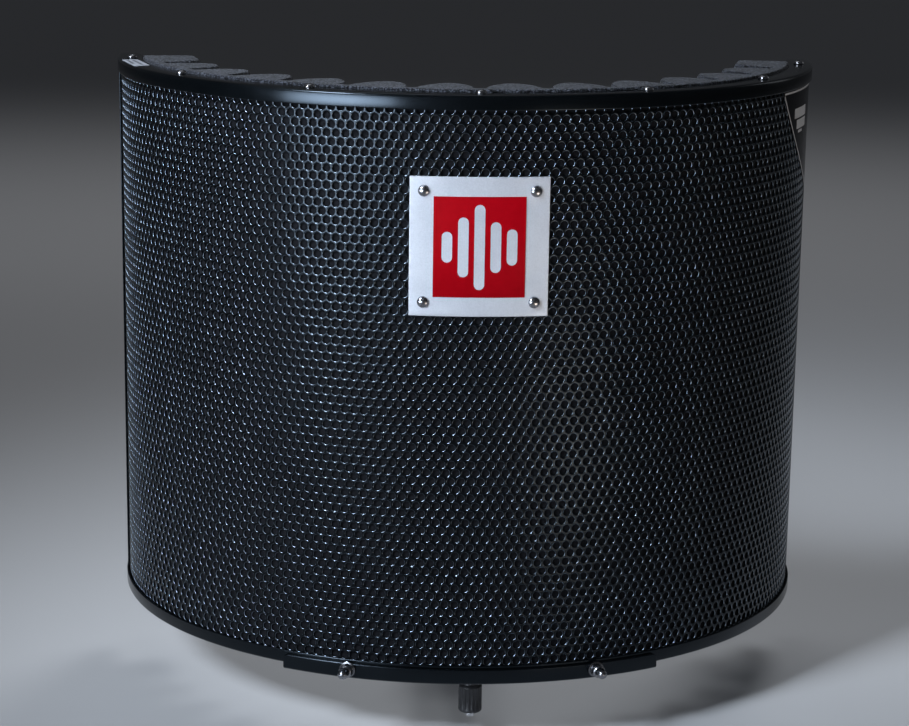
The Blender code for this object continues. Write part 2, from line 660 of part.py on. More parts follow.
def make_carriage():
    half = BAR_WIDTH / 2 + GAP
    lip = half + SADDLE_LIP
    low = BAR_BOTTOM - MM
    seat = BAR_TOP + GAP
    top = seat + SADDLE_THICK
    saddle = [(-lip, low), (-half, low), (-half, seat), (half, seat), (half, low),
              (lip, low), (lip, top), (-lip, top)]
    bm = slab(saddle, -SADDLE_HALF, SADDLE_HALF)
    bmesh.ops.rotate(bm, verts=bm.verts, matrix=Matrix.Rotation(math.radians(90), 3, "X"))
    at = (0.0, CARRIAGE_Y, 0.0)
    carriage = add_object("mic_carriage", bm, DARK_STEEL, location=at)
    cut(carriage, cylinder(LOCK_STUD + GAP, seat - MM, top + MM))
    base = top + GAP
    foot_radius, foot = POST_FOOT
    profile = [(0.0, POST_TIP), (POST_RADIUS - MM, POST_TIP), (POST_RADIUS, POST_TIP - MM),
               (POST_RADIUS, base + foot), (foot_radius, base + foot), (foot_radius, base),
               (LOCK_STUD, base), (LOCK_STUD, SHAFT_END), (0.0, SHAFT_END)]
    turned("mic_post", profile, BARE_STEEL, steps=28, location=at)
    turned("lock_ring", ring_profile(POST_RADIUS + GAP, RING_RADIUS, *RING_HEIGHTS),
           BARE_STEEL, closed=True, steps=28, location=at)
    mean, swell = CARRIAGE_KNOB
    outline = []
    for t in np.linspace(0.0, 2 * math.pi, 40, endpoint=False):
        radius = mean + swell * math.cos(5 * t)
        outline.append((radius * math.cos(t), radius * math.sin(t)))
    knob = add_object("carriage_knob", slab(outline, CARRIAGE_KNOB_LOW, BAR_BOTTOM - GAP),
                      BLACK_PLASTIC, location=at)
    cut(knob, cylinder(LOCK_STUD + GAP, 0.0, BAR_BOTTOM + MM))


def main():
    make_layers()
    make_foam()
    top_rail = make_rail("top_rail", HEIGHT - TOP_SKIRT, HEIGHT, -1, TOP_SKIRT)
    bottom_rail = make_rail("bottom_rail", 0.0, BOTTOM_SKIRT, 1, BOTTOM_SKIRT)
    make_end_channel("end_channel_left", -1)
    make_end_channel("end_channel_right", 1)
    rod_runs = [i * SCREW_PITCH for i in range(-2, 3)]
    for number, run in enumerate(rod_runs, start=1):
        make_rod(number, run)
    top_runs = [-END_SCREW_RUN] + rod_runs + [END_SCREW_RUN]
    bottom_runs = [run for run in top_runs if abs(run) > BRACKET_HALF_RUN]
    make_rail_screws(top_rail, "top_screw", top_runs, HEIGHT, 1)
    make_rail_screws(bottom_rail, "bottom_screw", bottom_runs, 0.0, -1)
    make_badge()
    make_labels()
    make_lock(make_bracket(bottom_rail))
    make_bar()
    make_clamp()
    make_clamp_screw()
    make_carriage()


main()
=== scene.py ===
import math

import bmesh
import bpy
import numpy as np
from mathutils import Matrix, Vector, noise


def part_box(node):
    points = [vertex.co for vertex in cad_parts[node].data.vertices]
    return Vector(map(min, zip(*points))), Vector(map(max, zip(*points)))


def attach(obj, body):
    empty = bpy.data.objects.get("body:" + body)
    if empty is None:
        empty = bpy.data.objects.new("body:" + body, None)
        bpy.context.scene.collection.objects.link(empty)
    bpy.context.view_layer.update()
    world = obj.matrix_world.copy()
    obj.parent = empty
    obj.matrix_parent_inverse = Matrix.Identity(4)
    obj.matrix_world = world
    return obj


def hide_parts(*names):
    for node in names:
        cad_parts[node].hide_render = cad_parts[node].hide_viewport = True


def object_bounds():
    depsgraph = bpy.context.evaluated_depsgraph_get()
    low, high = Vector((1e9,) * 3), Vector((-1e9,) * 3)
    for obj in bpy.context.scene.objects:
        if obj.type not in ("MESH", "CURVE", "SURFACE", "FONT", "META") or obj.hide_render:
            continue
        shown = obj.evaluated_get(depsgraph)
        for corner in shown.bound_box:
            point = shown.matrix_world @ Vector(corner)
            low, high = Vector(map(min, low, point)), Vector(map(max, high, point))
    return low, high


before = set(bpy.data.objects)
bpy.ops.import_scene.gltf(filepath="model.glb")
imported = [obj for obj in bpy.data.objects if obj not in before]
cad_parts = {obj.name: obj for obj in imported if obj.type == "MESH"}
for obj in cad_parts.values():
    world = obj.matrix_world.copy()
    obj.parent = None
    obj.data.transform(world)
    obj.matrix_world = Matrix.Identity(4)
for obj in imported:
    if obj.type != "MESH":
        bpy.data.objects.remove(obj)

# Microphone isolation shield: the finished surfaces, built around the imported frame.
# Metres, +Z up. The perforated front faces -Y and the open side +Y.

MM = 0.001
CAD_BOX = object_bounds()

# -------------------- sizes read from the frame

RAIL_LOW, RAIL_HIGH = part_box("top_rail")
FLOOR_LOW, FLOOR_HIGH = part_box("bottom_rail")
HALF_WIDTH = 190.5 * MM               # the rail's rounded corners stop just short of it
DEPTH = RAIL_HIGH.y - RAIL_LOW.y
WALL_Y = RAIL_HIGH.y
BOTTOM = FLOOR_LOW.z
HEIGHT = RAIL_HIGH.z - BOTTOM
TOP_SKIRT = RAIL_HIGH.z - RAIL_LOW.z
BOTTOM_SKIRT = FLOOR_HIGH.z - BOTTOM

# -------------------- sizes of the finished surfaces
# Runs go along the wall from the middle of its front, insets in from its outer face.

RAIL_WIDTH = 13.0 * MM
RAIL_SHEET = 1.2 * MM
RAIL_CORNER = 4.0 * MM
RAIL_BEND = 1.5 * MM
SHEET_EDGE = 0.5 * MM

CHANNEL_SHEET = 0.9 * MM
CHANNEL_INSET = 0.5 * MM
CHANNEL_FLANGE = 14.0 * MM
CHANNEL_LIP = 21.6 * MM
CHANNEL_BEND = 1.3 * MM
CHANNEL_TUCK = 4.0 * MM               # how far its ends go up behind the rails

HOLE_PITCH = 5.0 * MM
HOLE_RADIUS = 1.93 * MM
HOLE_SIDES = 12
RIM_RADIUS = 0.33 * MM
GRILLE_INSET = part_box("outer_grille")[0].y - RAIL_LOW.y
GRILLE_SHEET = 1.0 * MM
GRILLE_MARGIN = 2.0 * MM
GRILLE_EDGE = 1.6 * MM
GRILLE_PANELS = 5

FOAM_BACK = RAIL_WIDTH + 0.3 * MM
FOAM_VALLEY = 20.0 * MM
FOAM_TIP = 41.5 * MM
FOAM_END = 22.0 * MM
FOAM_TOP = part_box("foam_absorber")[1].z - BOTTOM
FOAM_ROUND = 2.2 * MM
FOAM_CORNER = 6.0 * MM
FOAM_MESH = 3.2 * MM
FOAM_ROUGHNESS = ((900.0, 0.02 * MM), (70.0, 0.10 * MM))    # scale and push of its unevenness
LOBES = 7                             # on each side of the middle
LOBE_PITCH = 37.3 * MM
LOBE_LEAN = 1.8 * MM
LOBE_ROUND = (1.6, 0.48)
VALLEY_WIDTH = 7.0 * MM

BADGE_SIDE = 69.3 * MM
BADGE_MIDDLE = 223.5 * MM
BADGE_INSET = (0.6 * MM, 1.4 * MM)
INLAY_WIDTH = 45.5 * MM
INLAY_HEIGHT = 50.0 * MM
INLAY_INSET = (0.3 * MM, 0.6 * MM)
RIVET_REACH = 27.6 * MM
# rivets: radius and height of the head, radius and length of the shank
RIVET = (2.9 * MM, 2.1 * MM, 1.5 * MM, 0.7 * MM)
# dents: across, up and how wide, as shares of half the plate's side, and depth in mm
DENTS = ((0.80, 0.60, 0.07, 0.28), (0.90, 0.80, 0.05, -0.26), (0.62, 0.92, 0.06, 0.22),
         (0.84, -0.35, 0.08, 0.2), (-0.9, 0.1, 0.06, 0.14))
LEVELS = (0.34, 0.66, 0.94, 0.56, 0.40)    # the bars, as shares of the tallest there is room for
LEVEL_WIDTH = 5.2 * MM
LEVEL_PITCH = 8.0 * MM
LEVEL_MARGIN = 5.0 * MM

STICKER_RUN = (-253.5 * MM, -222.5 * MM)
STICKER_INSET = (0.9 * MM, 9.4 * MM)
STICKER_BARS = ((2.7, -250.5, -232.5), (5.8, -250.5, -226.5))    # inset, start and stop in mm
STICKER_BAR = 1.3                     # a bar's width in mm

LABEL_START = 193.5 * MM
LABEL_DROP = 0.3 * MM
LABEL_FOOT = 200.0 * MM
LABEL_RISE = 87.0 * MM
LABEL_FADE = 60.0 * MM
LABEL_LINE = 0.9 * MM
# blank blocks on the label: start, stop, low and high in mm
LABEL_BLOCKS = ((211.0, 237.0, 274.3, 279.6), (215.5, 236.5, 268.4, 273.3), (219.0, 228.0, 266.2, 267.6))

# screws: radius and height of the head, radius and length of the shank, radius of the socket
SMALL_SCREW = (2.85 * MM, 1.9 * MM, 1.3 * MM, 8.0 * MM, 1.0 * MM)
LOW_SCREW = (2.85 * MM, 1.7 * MM, 1.3 * MM, 8.0 * MM, 1.0 * MM)
LARGE_SCREW = (4.2 * MM, 2.6 * MM, 2.5 * MM, 14.0 * MM, 1.9 * MM)

BRACKET_OUTER = (-2.0 * MM, -0.3 * MM)
BRACKET_HALF_RUN = 100.0 * MM
BRACKET_ROUND = 2.5 * MM
BRACKET_TOP = 5.7 * MM
BRACKET_BOTTOM = -2.5 * MM
TONGUE_HALF = 16.0 * MM
TONGUE_TIP = 54.0 * MM
SHOULDER = 4.0 * MM
BOLT_RUN = 64.0 * MM
BOLT_HEIGHT = 2.6 * MM

LOCK_KNOB_DROP = 9.9 * MM
POST_RADIUS = 7.9 * MM
BALL_RADIUS = 4.5 * MM

UP = (0.0, 0.0, 1.0)
DOWN = (0.0, 0.0, -1.0)

# -------------------- the photograph's angle, and lamps

CAMERA_AZIMUTH = -2.5205
CAMERA_ELEVATION = 13.291
CAMERA_ROLL = 0.805
CAMERA_DISTANCE = 1.38541
CAMERA_TARGET = (-0.00294, -0.00963, 0.1420)
CAMERA_LENS = 95.197
CAMERA_SENSOR = 36.0

# name, place, aim, size, watts, colour, spread in degrees, whether it shows in reflections
LAMPS = (
    ("key", (-1.05, -1.05, 1.2), (-0.05, -0.1, 0.15), (0.45, 0.45), 1.4, (0.80, 0.89, 1.0), 29.0, True),
    ("low_left", (-0.72, -0.95, 0.20), (0.0, -0.1, 0.32), (0.7, 0.26), 1.05, (0.76, 0.87, 1.0), 50.0, True),
    ("low_right", (0.34, -0.66, -0.008), (0.34, -0.66, 1.0), (0.26, 0.26), 1.9, (1.0, 0.88, 0.74),
     180.0, True),
    ("top", (-0.2, 0.35, 1.5), (0.0, -0.05, 0.3), (0.9, 0.7), 0.3, (0.92, 0.96, 1.0), 60.0, True),
    ("back_wash", (0.0, 1.6, 1.5), (0.0, 1.0, 0.0), (2.2, 0.9), 3.8, (0.95, 0.97, 1.0), 110.0, False),
    ("back_fill", (0.6, 1.0, 1.5), (0.0, -0.1, 0.12), (0.9, 0.7), 0.8, (0.92, 0.96, 1.0), 40.0, False),
    ("rim", (1.3, 0.55, 0.7), (0.0, -0.1, 0.15), (0.3, 0.9), 0.05, (0.95, 0.97, 1.0), 50.0, True),
)


# -------------------- the wall's plan

def wall_table():
    angle = np.linspace(-math.pi / 2, math.pi / 2, 8001)
    steps = np.hypot(np.diff(HALF_WIDTH * np.sin(angle)), np.diff(DEPTH * np.cos(angle)))
    run = np.concatenate(([0.0], np.cumsum(steps)))
    return angle, run - run[-1] / 2


ANGLES, RUNS = wall_table()
WALL_END = float(RUNS[-1])


def wall(run, inset, height):
    """Points on the wall: run along it from the front, inset from its outer face, height."""
    run, inset, height = np.broadcast_arrays(*(np.asarray(v, float) for v in (run, inset, height)))
    t = np.interp(run, RUNS, ANGLES)
    nx = DEPTH * np.sin(t)
    ny = -HALF_WIDTH * np.cos(t)
    length = np.hypot(nx, ny)
    x = HALF_WIDTH * np.sin(t) - nx / length * inset
    y = WALL_Y - DEPTH * np.cos(t) - ny / length * inset
    return np.stack([x, y, BOTTOM + height], -1)


def wall_normal(run):
    t = float(np.interp(run, RUNS, ANGLES))
    return Vector((DEPTH * math.sin(t), -HALF_WIDTH * math.cos(t), 0.0)).normalized()


def ease(distance, radius):
    """How far a rounded edge has drawn back at this distance from its end."""
    if distance >= radius:
        return 0.0
    return radius - math.sqrt(max(radius ** 2 - (radius - distance) ** 2, 0.0))


def spread(start, stop, count):
    return [start + (stop - start) * i / count for i in range(count + 1)]


def fillet(corners, radii, steps=4):
    """A closed outline whose corners are replaced by arcs of the given radii."""
    outline = []
    count = len(corners)
    for i, corner in enumerate(corners):
        here = np.array(corner, float)
        back = np.array(corners[i - 1], float) - here
        on = np.array(corners[(i + 1) % count], float) - here
        reach = 0.48 * min(np.linalg.norm(back), np.linalg.norm(on))
        back /= np.linalg.norm(back)
        on /= np.linalg.norm(on)
        half = math.acos(max(-1.0, min(1.0, float(back @ on)))) / 2
        radius = min(radii[i], reach * math.tan(half))
        middle = back + on
        middle /= np.linalg.norm(middle)
        centre = here + middle * radius / math.sin(half)
        first = here + back * radius / math.tan(half) - centre
        last = here + on * radius / math.tan(half) - centre
        swing = math.pi - 2 * half
        for k in range(steps + 1):
            share = k / steps
            a = math.sin((1 - share) * swing) / math.sin(swing)
            b = math.sin(share * swing) / math.sin(swing)
            outline.append(tuple(centre + first * a + last * b))
    return outline


# -------------------- making pieces

COLLECTION = bpy.data.collections.new("finished_shield")
bpy.context.scene.collection.children.link(COLLECTION)


def fit_piece(name, mesh, look, body, nodes):
    """A mesh as a piece that rides a body and takes the place of some CAD nodes, or of none."""
    mesh.materials.append(look)
    piece = bpy.data.objects.new(name, mesh)
    COLLECTION.objects.link(piece)
    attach(piece, body)
    if nodes:
        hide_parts(*nodes)
    return piece


def add_piece(name, solid, look, body, nodes=(), sharp=40.0, turn_out=True):
    verts, faces = solid
    mesh = bpy.data.meshes.new(name)
    mesh.from_pydata([tuple(v) for v in verts], [], faces)
    if turn_out:
        bm = bmesh.new()
        bm.from_mesh(mesh)
        bmesh.ops.recalc_face_normals(bm, faces=bm.faces)
        bm.to_mesh(mesh)
        bm.free()
    mesh.shade_smooth()
    mesh.set_sharp_from_angle(angle=math.radians(sharp))
    return fit_piece(name, mesh, look, body, nodes)


def stand_in(name, solid, look, body, sharp=40.0):
    """The finished shape of the CAD node of this name."""
    return add_piece(name + "_finish", solid, look, body, [name], sharp)


def loft(rings):
    """A closed solid between rings of points that all have the same number of points."""
    count = len(rings[0])
    verts = np.concatenate([np.asarray(ring, float) for ring in rings])
    faces = []
    for i in range(len(rings) - 1):
        a = i * count
        b = a + count
        for k in range(count):
            m = (k + 1) % count
            faces.append((a + k, a + m, b + m, b + k))
    faces.append(tuple(range(count))[::-1])
    faces.append(tuple(range(len(verts) - count, len(verts))))
    return verts, faces


def sweep(section, runs):
    """A closed solid with a section of (inset, height) points carried along the wall."""
    rings = []
    for run in runs:
        ring = np.array(section(run), float)
        rings.append(wall(run, ring[:, 0], ring[:, 1]))
    return loft(rings)


def patch(outline, front, back):
    """A thin flat shape of (run, height) points laid on the wall."""
    outline = np.asarray(outline, float)
    rings = [wall(outline[:, 0], front, outline[:, 1]), wall(outline[:, 0], back, outline[:, 1])]
    return loft(rings)


def hexagon(angle):
    side = math.pi / 3
    return math.cos(side / 2) / np.cos(np.mod(angle, side) - side / 2)


def turned(profile, segments=32, ring=False):
    """(radius, z) rows, each with an optional function of angle that shapes it, turned about Z."""
    angle = np.arange(segments) * 2 * math.pi / segments
    verts = []
    rings = []
    for row in profile:
        if row[0] == 0.0:
            rings.append([len(verts)])
            verts.append((0.0, 0.0, row[1]))
            continue
        radius = row[0] * (row[2](angle) if len(row) > 2 else np.ones(segments))
        rings.append(range(len(verts), len(verts) + segments))
        verts.extend(zip(radius * np.cos(angle), radius * np.sin(angle), [row[1]] * segments))
    faces = []
    pairs = list(zip(rings, rings[1:]))
    if ring:
        pairs.append((rings[-1], rings[0]))
    for low, high in pairs:
        for k in range(segments):
            m = (k + 1) % segments
            if len(low) == 1:
                faces.append((low[0], high[m], high[k]))
            elif len(high) == 1:
                faces.append((low[k], low[m], high[0]))
            else:
                faces.append((low[k], low[m], high[m], high[k]))
    return np.array(verts, float), faces


def placed(solid, origin, axis=UP, spin=0.0):
    """A turned solid moved so that its own Z lies along the axis, spun about it first."""
    verts, faces = solid
    turn = Vector(UP).rotation_difference(Vector(axis)).to_matrix()
    turn = np.array(turn @ Matrix.Rotation(spin, 3, "Z"))
    return verts @ turn.T + np.array(origin), faces


def in_mm(*rows, level=0.0):
    """Rows of a profile in millimetres, their heights counted from a level in metres."""
    return [(row[0] * MM, level + row[1] * MM) + row[2:] for row in rows]


def arc_rows(radius, z, across, up, start, stop, steps):
    """Rows along an elliptical arc about (radius, z), its angles in degrees from the radius."""
    rows = []
    for t in spread(start, stop, steps):
        angle = math.radians(t)
        rows.append((radius + across * math.cos(angle), z + up * math.sin(angle)))
    return rows


def thread_rows(radius, pitch, depth, start, stop, per_turn=8):
    """Rows of a helical thread from start down to stop."""
    count = int(abs(stop - start) / pitch * per_turn)
    rows = []
    for z in spread(start, stop, count):
        fade = min(1.0, abs(z - start) / pitch, abs(z - stop) / pitch)

        def shape(angle, z=z, fade=fade):
            phase = np.mod(z / pitch - angle / (2 * math.pi), 1.0)
            return 1 - depth / radius * (fade * np.abs(2 * phase - 1) + (1 - fade))
        rows.append((radius, z, shape))
    return rows


def ribs(count, depth, sharpness=1.0):
    """A row's shape with grooves running along the axis; depth is a share of the radius."""
    return lambda angle: 1 - depth * np.abs(np.sin(angle * count / 2)) ** sharpness


def softened(name, width, look, body, segments=3):
    """A copy of a CAD node whose sharp edges are rounded."""
    bm = bmesh.new()
    bm.from_mesh(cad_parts[name].data)
    bmesh.ops.remove_doubles(bm, verts=bm.verts, dist=0.00001)
    bmesh.ops.dissolve_limit(bm, angle_limit=math.radians(1.0), verts=bm.verts, edges=bm.edges)
    mesh = bpy.data.meshes.new(name + "_finish")
    bm.to_mesh(mesh)
    bm.free()
    mesh.materials.clear()
    mesh.shade_smooth()
    piece = fit_piece(mesh.name, mesh, look, body, [name])
    bevel = piece.modifiers.new("soft_edges", "BEVEL")
    bevel.width = width
    bevel.segments = segments
    bevel.limit_method = "ANGLE"
    bevel.angle_limit = math.radians(32.0)
    bevel.use_clamp_overlap = True
    bevel.harden_normals = True


# -------------------- materials

def start_material(name, settings=()):
    """A material, its nodes and its shader, with some of the shader's inputs set."""
    material = bpy.data.materials.new(name)
    material.use_nodes = True
    tree = material.node_tree
    shader = tree.nodes["Principled BSDF"]
    for key, value in settings:
        shader.inputs[key].default_value = value
    return material, tree, shader


def node(tree, kind, inputs=None, **settings):
    made = tree.nodes.new(kind)
    for key, value in settings.items():
        setattr(made, key, value)
    for key, value in (inputs or {}).items():
        if isinstance(value, bpy.types.NodeSocket):
            tree.links.new(value, made.inputs[key])
        else:
            made.inputs[key].default_value = value
    return made


def place_in(tree, stretch=(1.0, 1.0, 1.0)):
    coords = node(tree, "ShaderNodeTexCoord").outputs["Object"]
    return node(tree, "ShaderNodeMapping", {"Vector": coords, "Scale": stretch}).outputs[0]


def grain(tree, at, scale, detail=4.0, roughness=0.55):
    inputs = {"Vector": at, "Scale": scale, "Detail": detail, "Roughness": roughness}
    return node(tree, "ShaderNodeTexNoise", inputs).outputs["Fac"]


def ramp(tree, value, stops):
    made = node(tree, "ShaderNodeValToRGB", {"Fac": value})
    elements = made.color_ramp.elements
    while len(elements) < len(stops):
        elements.new(0.5)
    for element, (at, colour) in zip(elements, stops):
        element.position = at
        element.color = (*colour, 1.0) if len(colour) == 3 else colour
    return made.outputs["Color"]


def ranged(tree, value, low, high, near=0.3, far=0.7):
    inputs = {"Value": value, "From Min": near, "From Max": far, "To Min": low, "To Max": high}
    return node(tree, "ShaderNodeMapRange", inputs).outputs["Result"]


def mixed(tree, share, first, second, blend="MIX"):
    inputs = {0: share, 6: first, 7: second}
    return node(tree, "ShaderNodeMix", inputs, data_type="RGBA", blend_type=blend).outputs[2]


def times(tree, first, second):
    return node(tree, "ShaderNodeMath", {0: first, 1: second}, operation="MULTIPLY").outputs[0]


def cells(tree, at, scale):
    return node(tree, "ShaderNodeTexVoronoi", {"Vector": at, "Scale": scale}).outputs["Distance"]


def coloured(tree, shader, value, *stops):
    tree.links.new(ramp(tree, value, stops), shader.inputs["Base Color"])


def roughened(tree, shader, value, rough):
    tree.links.new(ranged(tree, value, *rough), shader.inputs["Roughness"])


def bumped(tree, shader, height, strength, distance):
    inputs = {"Height": height, "Strength": strength, "Distance": distance}
    tree.links.new(node(tree, "ShaderNodeBump", inputs).outputs["Normal"], shader.inputs["Normal"])


def paint(name, dark, light, rough, orange_peel, dust, gloss=0.4):
    """Powder coat: orange peel, faint cloudiness and a little dust."""
    settings = (("Specular IOR Level", gloss), ("Specular Tint", (0.70, 0.84, 1.0, 1.0)))
    material, tree, shader = start_material(name, settings)
    at = place_in(tree)
    fine = grain(tree, at, 1400.0, 3.0)
    broad = grain(tree, at, 26.0, 3.0)
    specks = ranged(tree, grain(tree, at, 620.0, 2.0, 0.7), 0.0, dust, 0.66, 0.8)
    clean = ramp(tree, broad, ((0.3, dark), (0.72, light)))
    dusty = mixed(tree, specks, clean, (0.22, 0.23, 0.25, 1.0))
    tree.links.new(dusty, shader.inputs["Base Color"])
    roughened(tree, shader, broad, rough)
    bumped(tree, shader, fine, orange_peel, 0.0001)
    return material


def punched_paint():
    """Powder coat whose shine is low on the flats and strong round the rolled rims."""
    material = paint("grille_powder_coat", (0.0004, 0.0005, 0.0007), (0.0010, 0.0012, 0.0016),
                     (0.18, 0.24), 0.08, 0.03)
    tree = material.node_tree
    shader = tree.nodes["Principled BSDF"]
    rim = node(tree, "ShaderNodeAttribute", attribute_name="rim").outputs["Fac"]
    shader.inputs["IOR"].default_value = 2.2
    tree.links.new(ranged(tree, rim, 0.07, 0.70, 0.0, 0.7), shader.inputs["Specular IOR Level"])
    return material


def metal(name, dark, light, rough, stretch=(1.0, 1.0, 1.0), scale=500.0, scratch=0.08):
    """Metal with a directional grain and patchy polish."""
    material, tree, shader = start_material(name, (("Metallic", 1.0),))
    lines = grain(tree, place_in(tree, stretch), scale, 5.0, 0.6)
    broad = grain(tree, place_in(tree), 45.0, 3.0)
    coloured(tree, shader, broad, (0.3, dark), (0.7, light))
    roughened(tree, shader, lines, rough)
    bumped(tree, shader, lines, scratch, 0.00004)
    return material


def plastic(name, dark, light, rough, texture):
    """Moulded plastic or rubber with a fine even texture."""
    material, tree, shader = start_material(name)
    at = place_in(tree)
    fine = grain(tree, at, 2600.0, 2.0)
    coloured(tree, shader, grain(tree, at, 90.0, 3.0), (0.3, dark), (0.7, light))
    roughened(tree, shader, fine, rough)
    bumped(tree, shader, fine, texture, 0.00008)
    return material


def foam_look():
    """Open-cell foam: pores of two sizes between cell walls, with painted shade darkening the pores and
    painted glints lightening some walls.
    """
    settings = (("Roughness", 0.96), ("Sheen Weight", 0.08), ("Sheen Roughness", 0.6),
                ("Specular IOR Level", 0.25))
    material, tree, shader = start_material("charcoal_foam", settings)
    at = place_in(tree)
    open_pores = ranged(tree, cells(tree, at, 560.0), 0.0, 1.0, 0.1, 0.55)
    fine_pores = ranged(tree, cells(tree, at, 1250.0), 0.25, 1.0, 0.1, 0.5)
    both = times(tree, open_pores, fine_pores)
    # Painted shade: the pore masks that shape the bump also darken the colour inside the pores.
    painted_pore_shade = times(tree, both, grain(tree, at, 1100.0, 4.0, 0.7))
    walls = ramp(tree, painted_pore_shade, ((0.0, (0.004, 0.004, 0.0055)), (0.25, (0.003, 0.0035, 0.005)),
                             (0.62, (0.023, 0.025, 0.034))))
    glint = ranged(tree, grain(tree, at, 1000.0, 0.0), 0.0, 0.9, 0.50, 0.60)
    speckled = mixed(tree, glint, walls, (0.098, 0.106, 0.130, 1.0))
    broad = grain(tree, at, 30.0, 3.0)
    shade = ramp(tree, broad, ((0.3, (0.82, 0.82, 0.84)), (0.7, (1.0, 1.0, 1.0))))
    tree.links.new(mixed(tree, 1.0, speckled, shade, "MULTIPLY"), shader.inputs["Base Color"])
    bumped(tree, shader, both, 0.75, 0.0004)
    return material


def felt_look():
    """Felted wool: matted fibres in two directions."""
    settings = (("Roughness", 0.95), ("Specular IOR Level", 0.2))
    material, tree, shader = start_material("grey_felt", settings)
    lying = grain(tree, place_in(tree, (1.0, 1.0, 7.0)), 420.0, 5.0, 0.7)
    rising = grain(tree, place_in(tree, (6.0, 6.0, 1.0)), 380.0, 5.0, 0.7)
    fibre = times(tree, lying, rising)
    coloured(tree, shader, fibre, (0.12, (0.0012, 0.0013, 0.0019)), (0.42, (0.0085, 0.0093, 0.0130)))
    bumped(tree, shader, fibre, 0.7, 0.0005)
    return material


def foil_look():
    """Crumpled aluminium foil."""
    settings = (("Roughness", 0.24), ("Metallic", 1.0))
    material, tree, shader = start_material("crumpled_foil", settings)
    at = place_in(tree)
    fine = grain(tree, at, 300.0, 4.0)
    coloured(tree, shader, fine, (0.3, (0.70, 0.71, 0.73)), (0.7, (0.88, 0.88, 0.90)))
    bumped(tree, shader, cells(tree, at, 130.0), 0.5, 0.0006)
    return material


def badge_look():
    """Satin aluminium with fine vertical brushing and faint cloudy handling marks."""
    material, tree, shader = start_material("satin_aluminium", (("Metallic", 0.30),))
    lines = grain(tree, place_in(tree, (1.0, 1.0, 0.05)), 2600.0, 4.0, 0.6)
    cloud = grain(tree, place_in(tree), 60.0, 4.0)
    speck = grain(tree, place_in(tree), 1500.0, 2.0, 0.8)
    base = ramp(tree, cloud, ((0.3, (0.47, 0.49, 0.54)), (0.7, (0.54, 0.56, 0.61))))
    light = ramp(tree, speck, ((0.35, (0.82, 0.82, 0.83)), (0.6, (1.0, 1.0, 1.0))))
    tree.links.new(mixed(tree, 0.6, base, light, "MULTIPLY"), shader.inputs["Base Color"])
    roughened(tree, shader, lines, (0.34, 0.5))
    bumped(tree, shader, lines, 0.12, 0.00004)
    return material


def print_look(name, dark, light, rough, grain_size=900.0, gloss=0.4):
    """Screen-printed ink or film: a slightly mottled, thin, even coat."""
    material, tree, shader = start_material(name, (("Specular IOR Level", gloss),))
    mottle = grain(tree, place_in(tree), grain_size, 3.0)
    coloured(tree, shader, mottle, (0.3, dark), (0.7, light))
    roughened(tree, shader, mottle, rough)
    bumped(tree, shader, mottle, 0.06, 0.00005)
    return material


GRILLE_PAINT = punched_paint()
RAIL_PAINT = paint("rail_powder_coat", (0.0007, 0.0011, 0.0014), (0.0016, 0.0022, 0.0028),
                   (0.16, 0.24), 0.05, 0.02, 0.33)
CLAMP_PAINT = paint("clamp_powder_coat", (0.012, 0.013, 0.015), (0.022, 0.023, 0.026),
                    (0.34, 0.46), 0.25, 0.15)
FOAM = foam_look()
FELT = felt_look()
FOIL = foil_look()
MILL = metal("mill_aluminium", (0.50, 0.51, 0.53), (0.62, 0.63, 0.65), (0.28, 0.42), (1.0, 1.0, 0.04))
BADGE_METAL = badge_look()
BADGE_RED = print_look("red_enamel", (0.255, 0.0001, 0.0035), (0.29, 0.0002, 0.0043),
                       (0.45, 0.55), 220.0, 0.05)
STICKER = print_look("pale_sticker", (0.36, 0.38, 0.43), (0.44, 0.46, 0.51), (0.40, 0.52), 260.0)
STICKER_INK = print_look("sticker_ink", (0.10, 0.105, 0.125), (0.14, 0.147, 0.17), (0.40, 0.50))
LABEL_FILM = print_look("label_film", (0.003, 0.003, 0.004), (0.006, 0.006, 0.008),
                        (0.16, 0.24), 300.0, 0.12)
LABEL_INK = print_look("label_ink", (0.50, 0.51, 0.54), (0.62, 0.63, 0.66), (0.35, 0.45))
# Polished steel whose colour is set darker than bare steel: painted dark reflections.
STEEL_PAINTED_DARK_REFLECTION = metal("polished_steel_painted_dark_reflection", (0.28, 0.28, 0.30), (0.38, 0.38, 0.40), (0.20, 0.30),
                 scale=700.0, scratch=0.04)
NICKEL = metal("dark_nickel", (0.16, 0.16, 0.17), (0.24, 0.24, 0.25), (0.16, 0.26),
               scale=700.0, scratch=0.05)
TURNED_STEEL = metal("turned_steel", (0.50, 0.50, 0.52), (0.62, 0.62, 0.63), (0.18, 0.34),
                     (0.06, 0.06, 1.0), 1500.0)
BLACK_ZINC = metal("black_zinc", (0.075, 0.075, 0.082), (0.12, 0.12, 0.128), (0.28, 0.44),
                   (1.0, 0.05, 1.0), 900.0, 0.12)
RUBBER = plastic("ribbed_rubber", (0.018, 0.018, 0.018), (0.032, 0.032, 0.032), (0.75, 0.9), 0.35)
PLASTIC = plastic("moulded_plastic", (0.014, 0.014, 0.016), (0.024, 0.024, 0.027), (0.38, 0.5), 0.22)


# -------------------- perforated grille

def make_grille():
    """A punched sheet: staggered round holes with rolled rims, in panels that join along the cells."""
    columns = int((WALL_END - GRILLE_MARGIN - HOLE_PITCH) / HOLE_PITCH)
    cuts = [round(-columns + (2 * columns + 1) * i / GRILLE_PANELS) for i in range(GRILLE_PANELS + 1)]
    for number, (first, stop) in enumerate(zip(cuts, cuts[1:]), start=1):
        make_panel("perforated_grille_%d" % number, first, stop, columns)


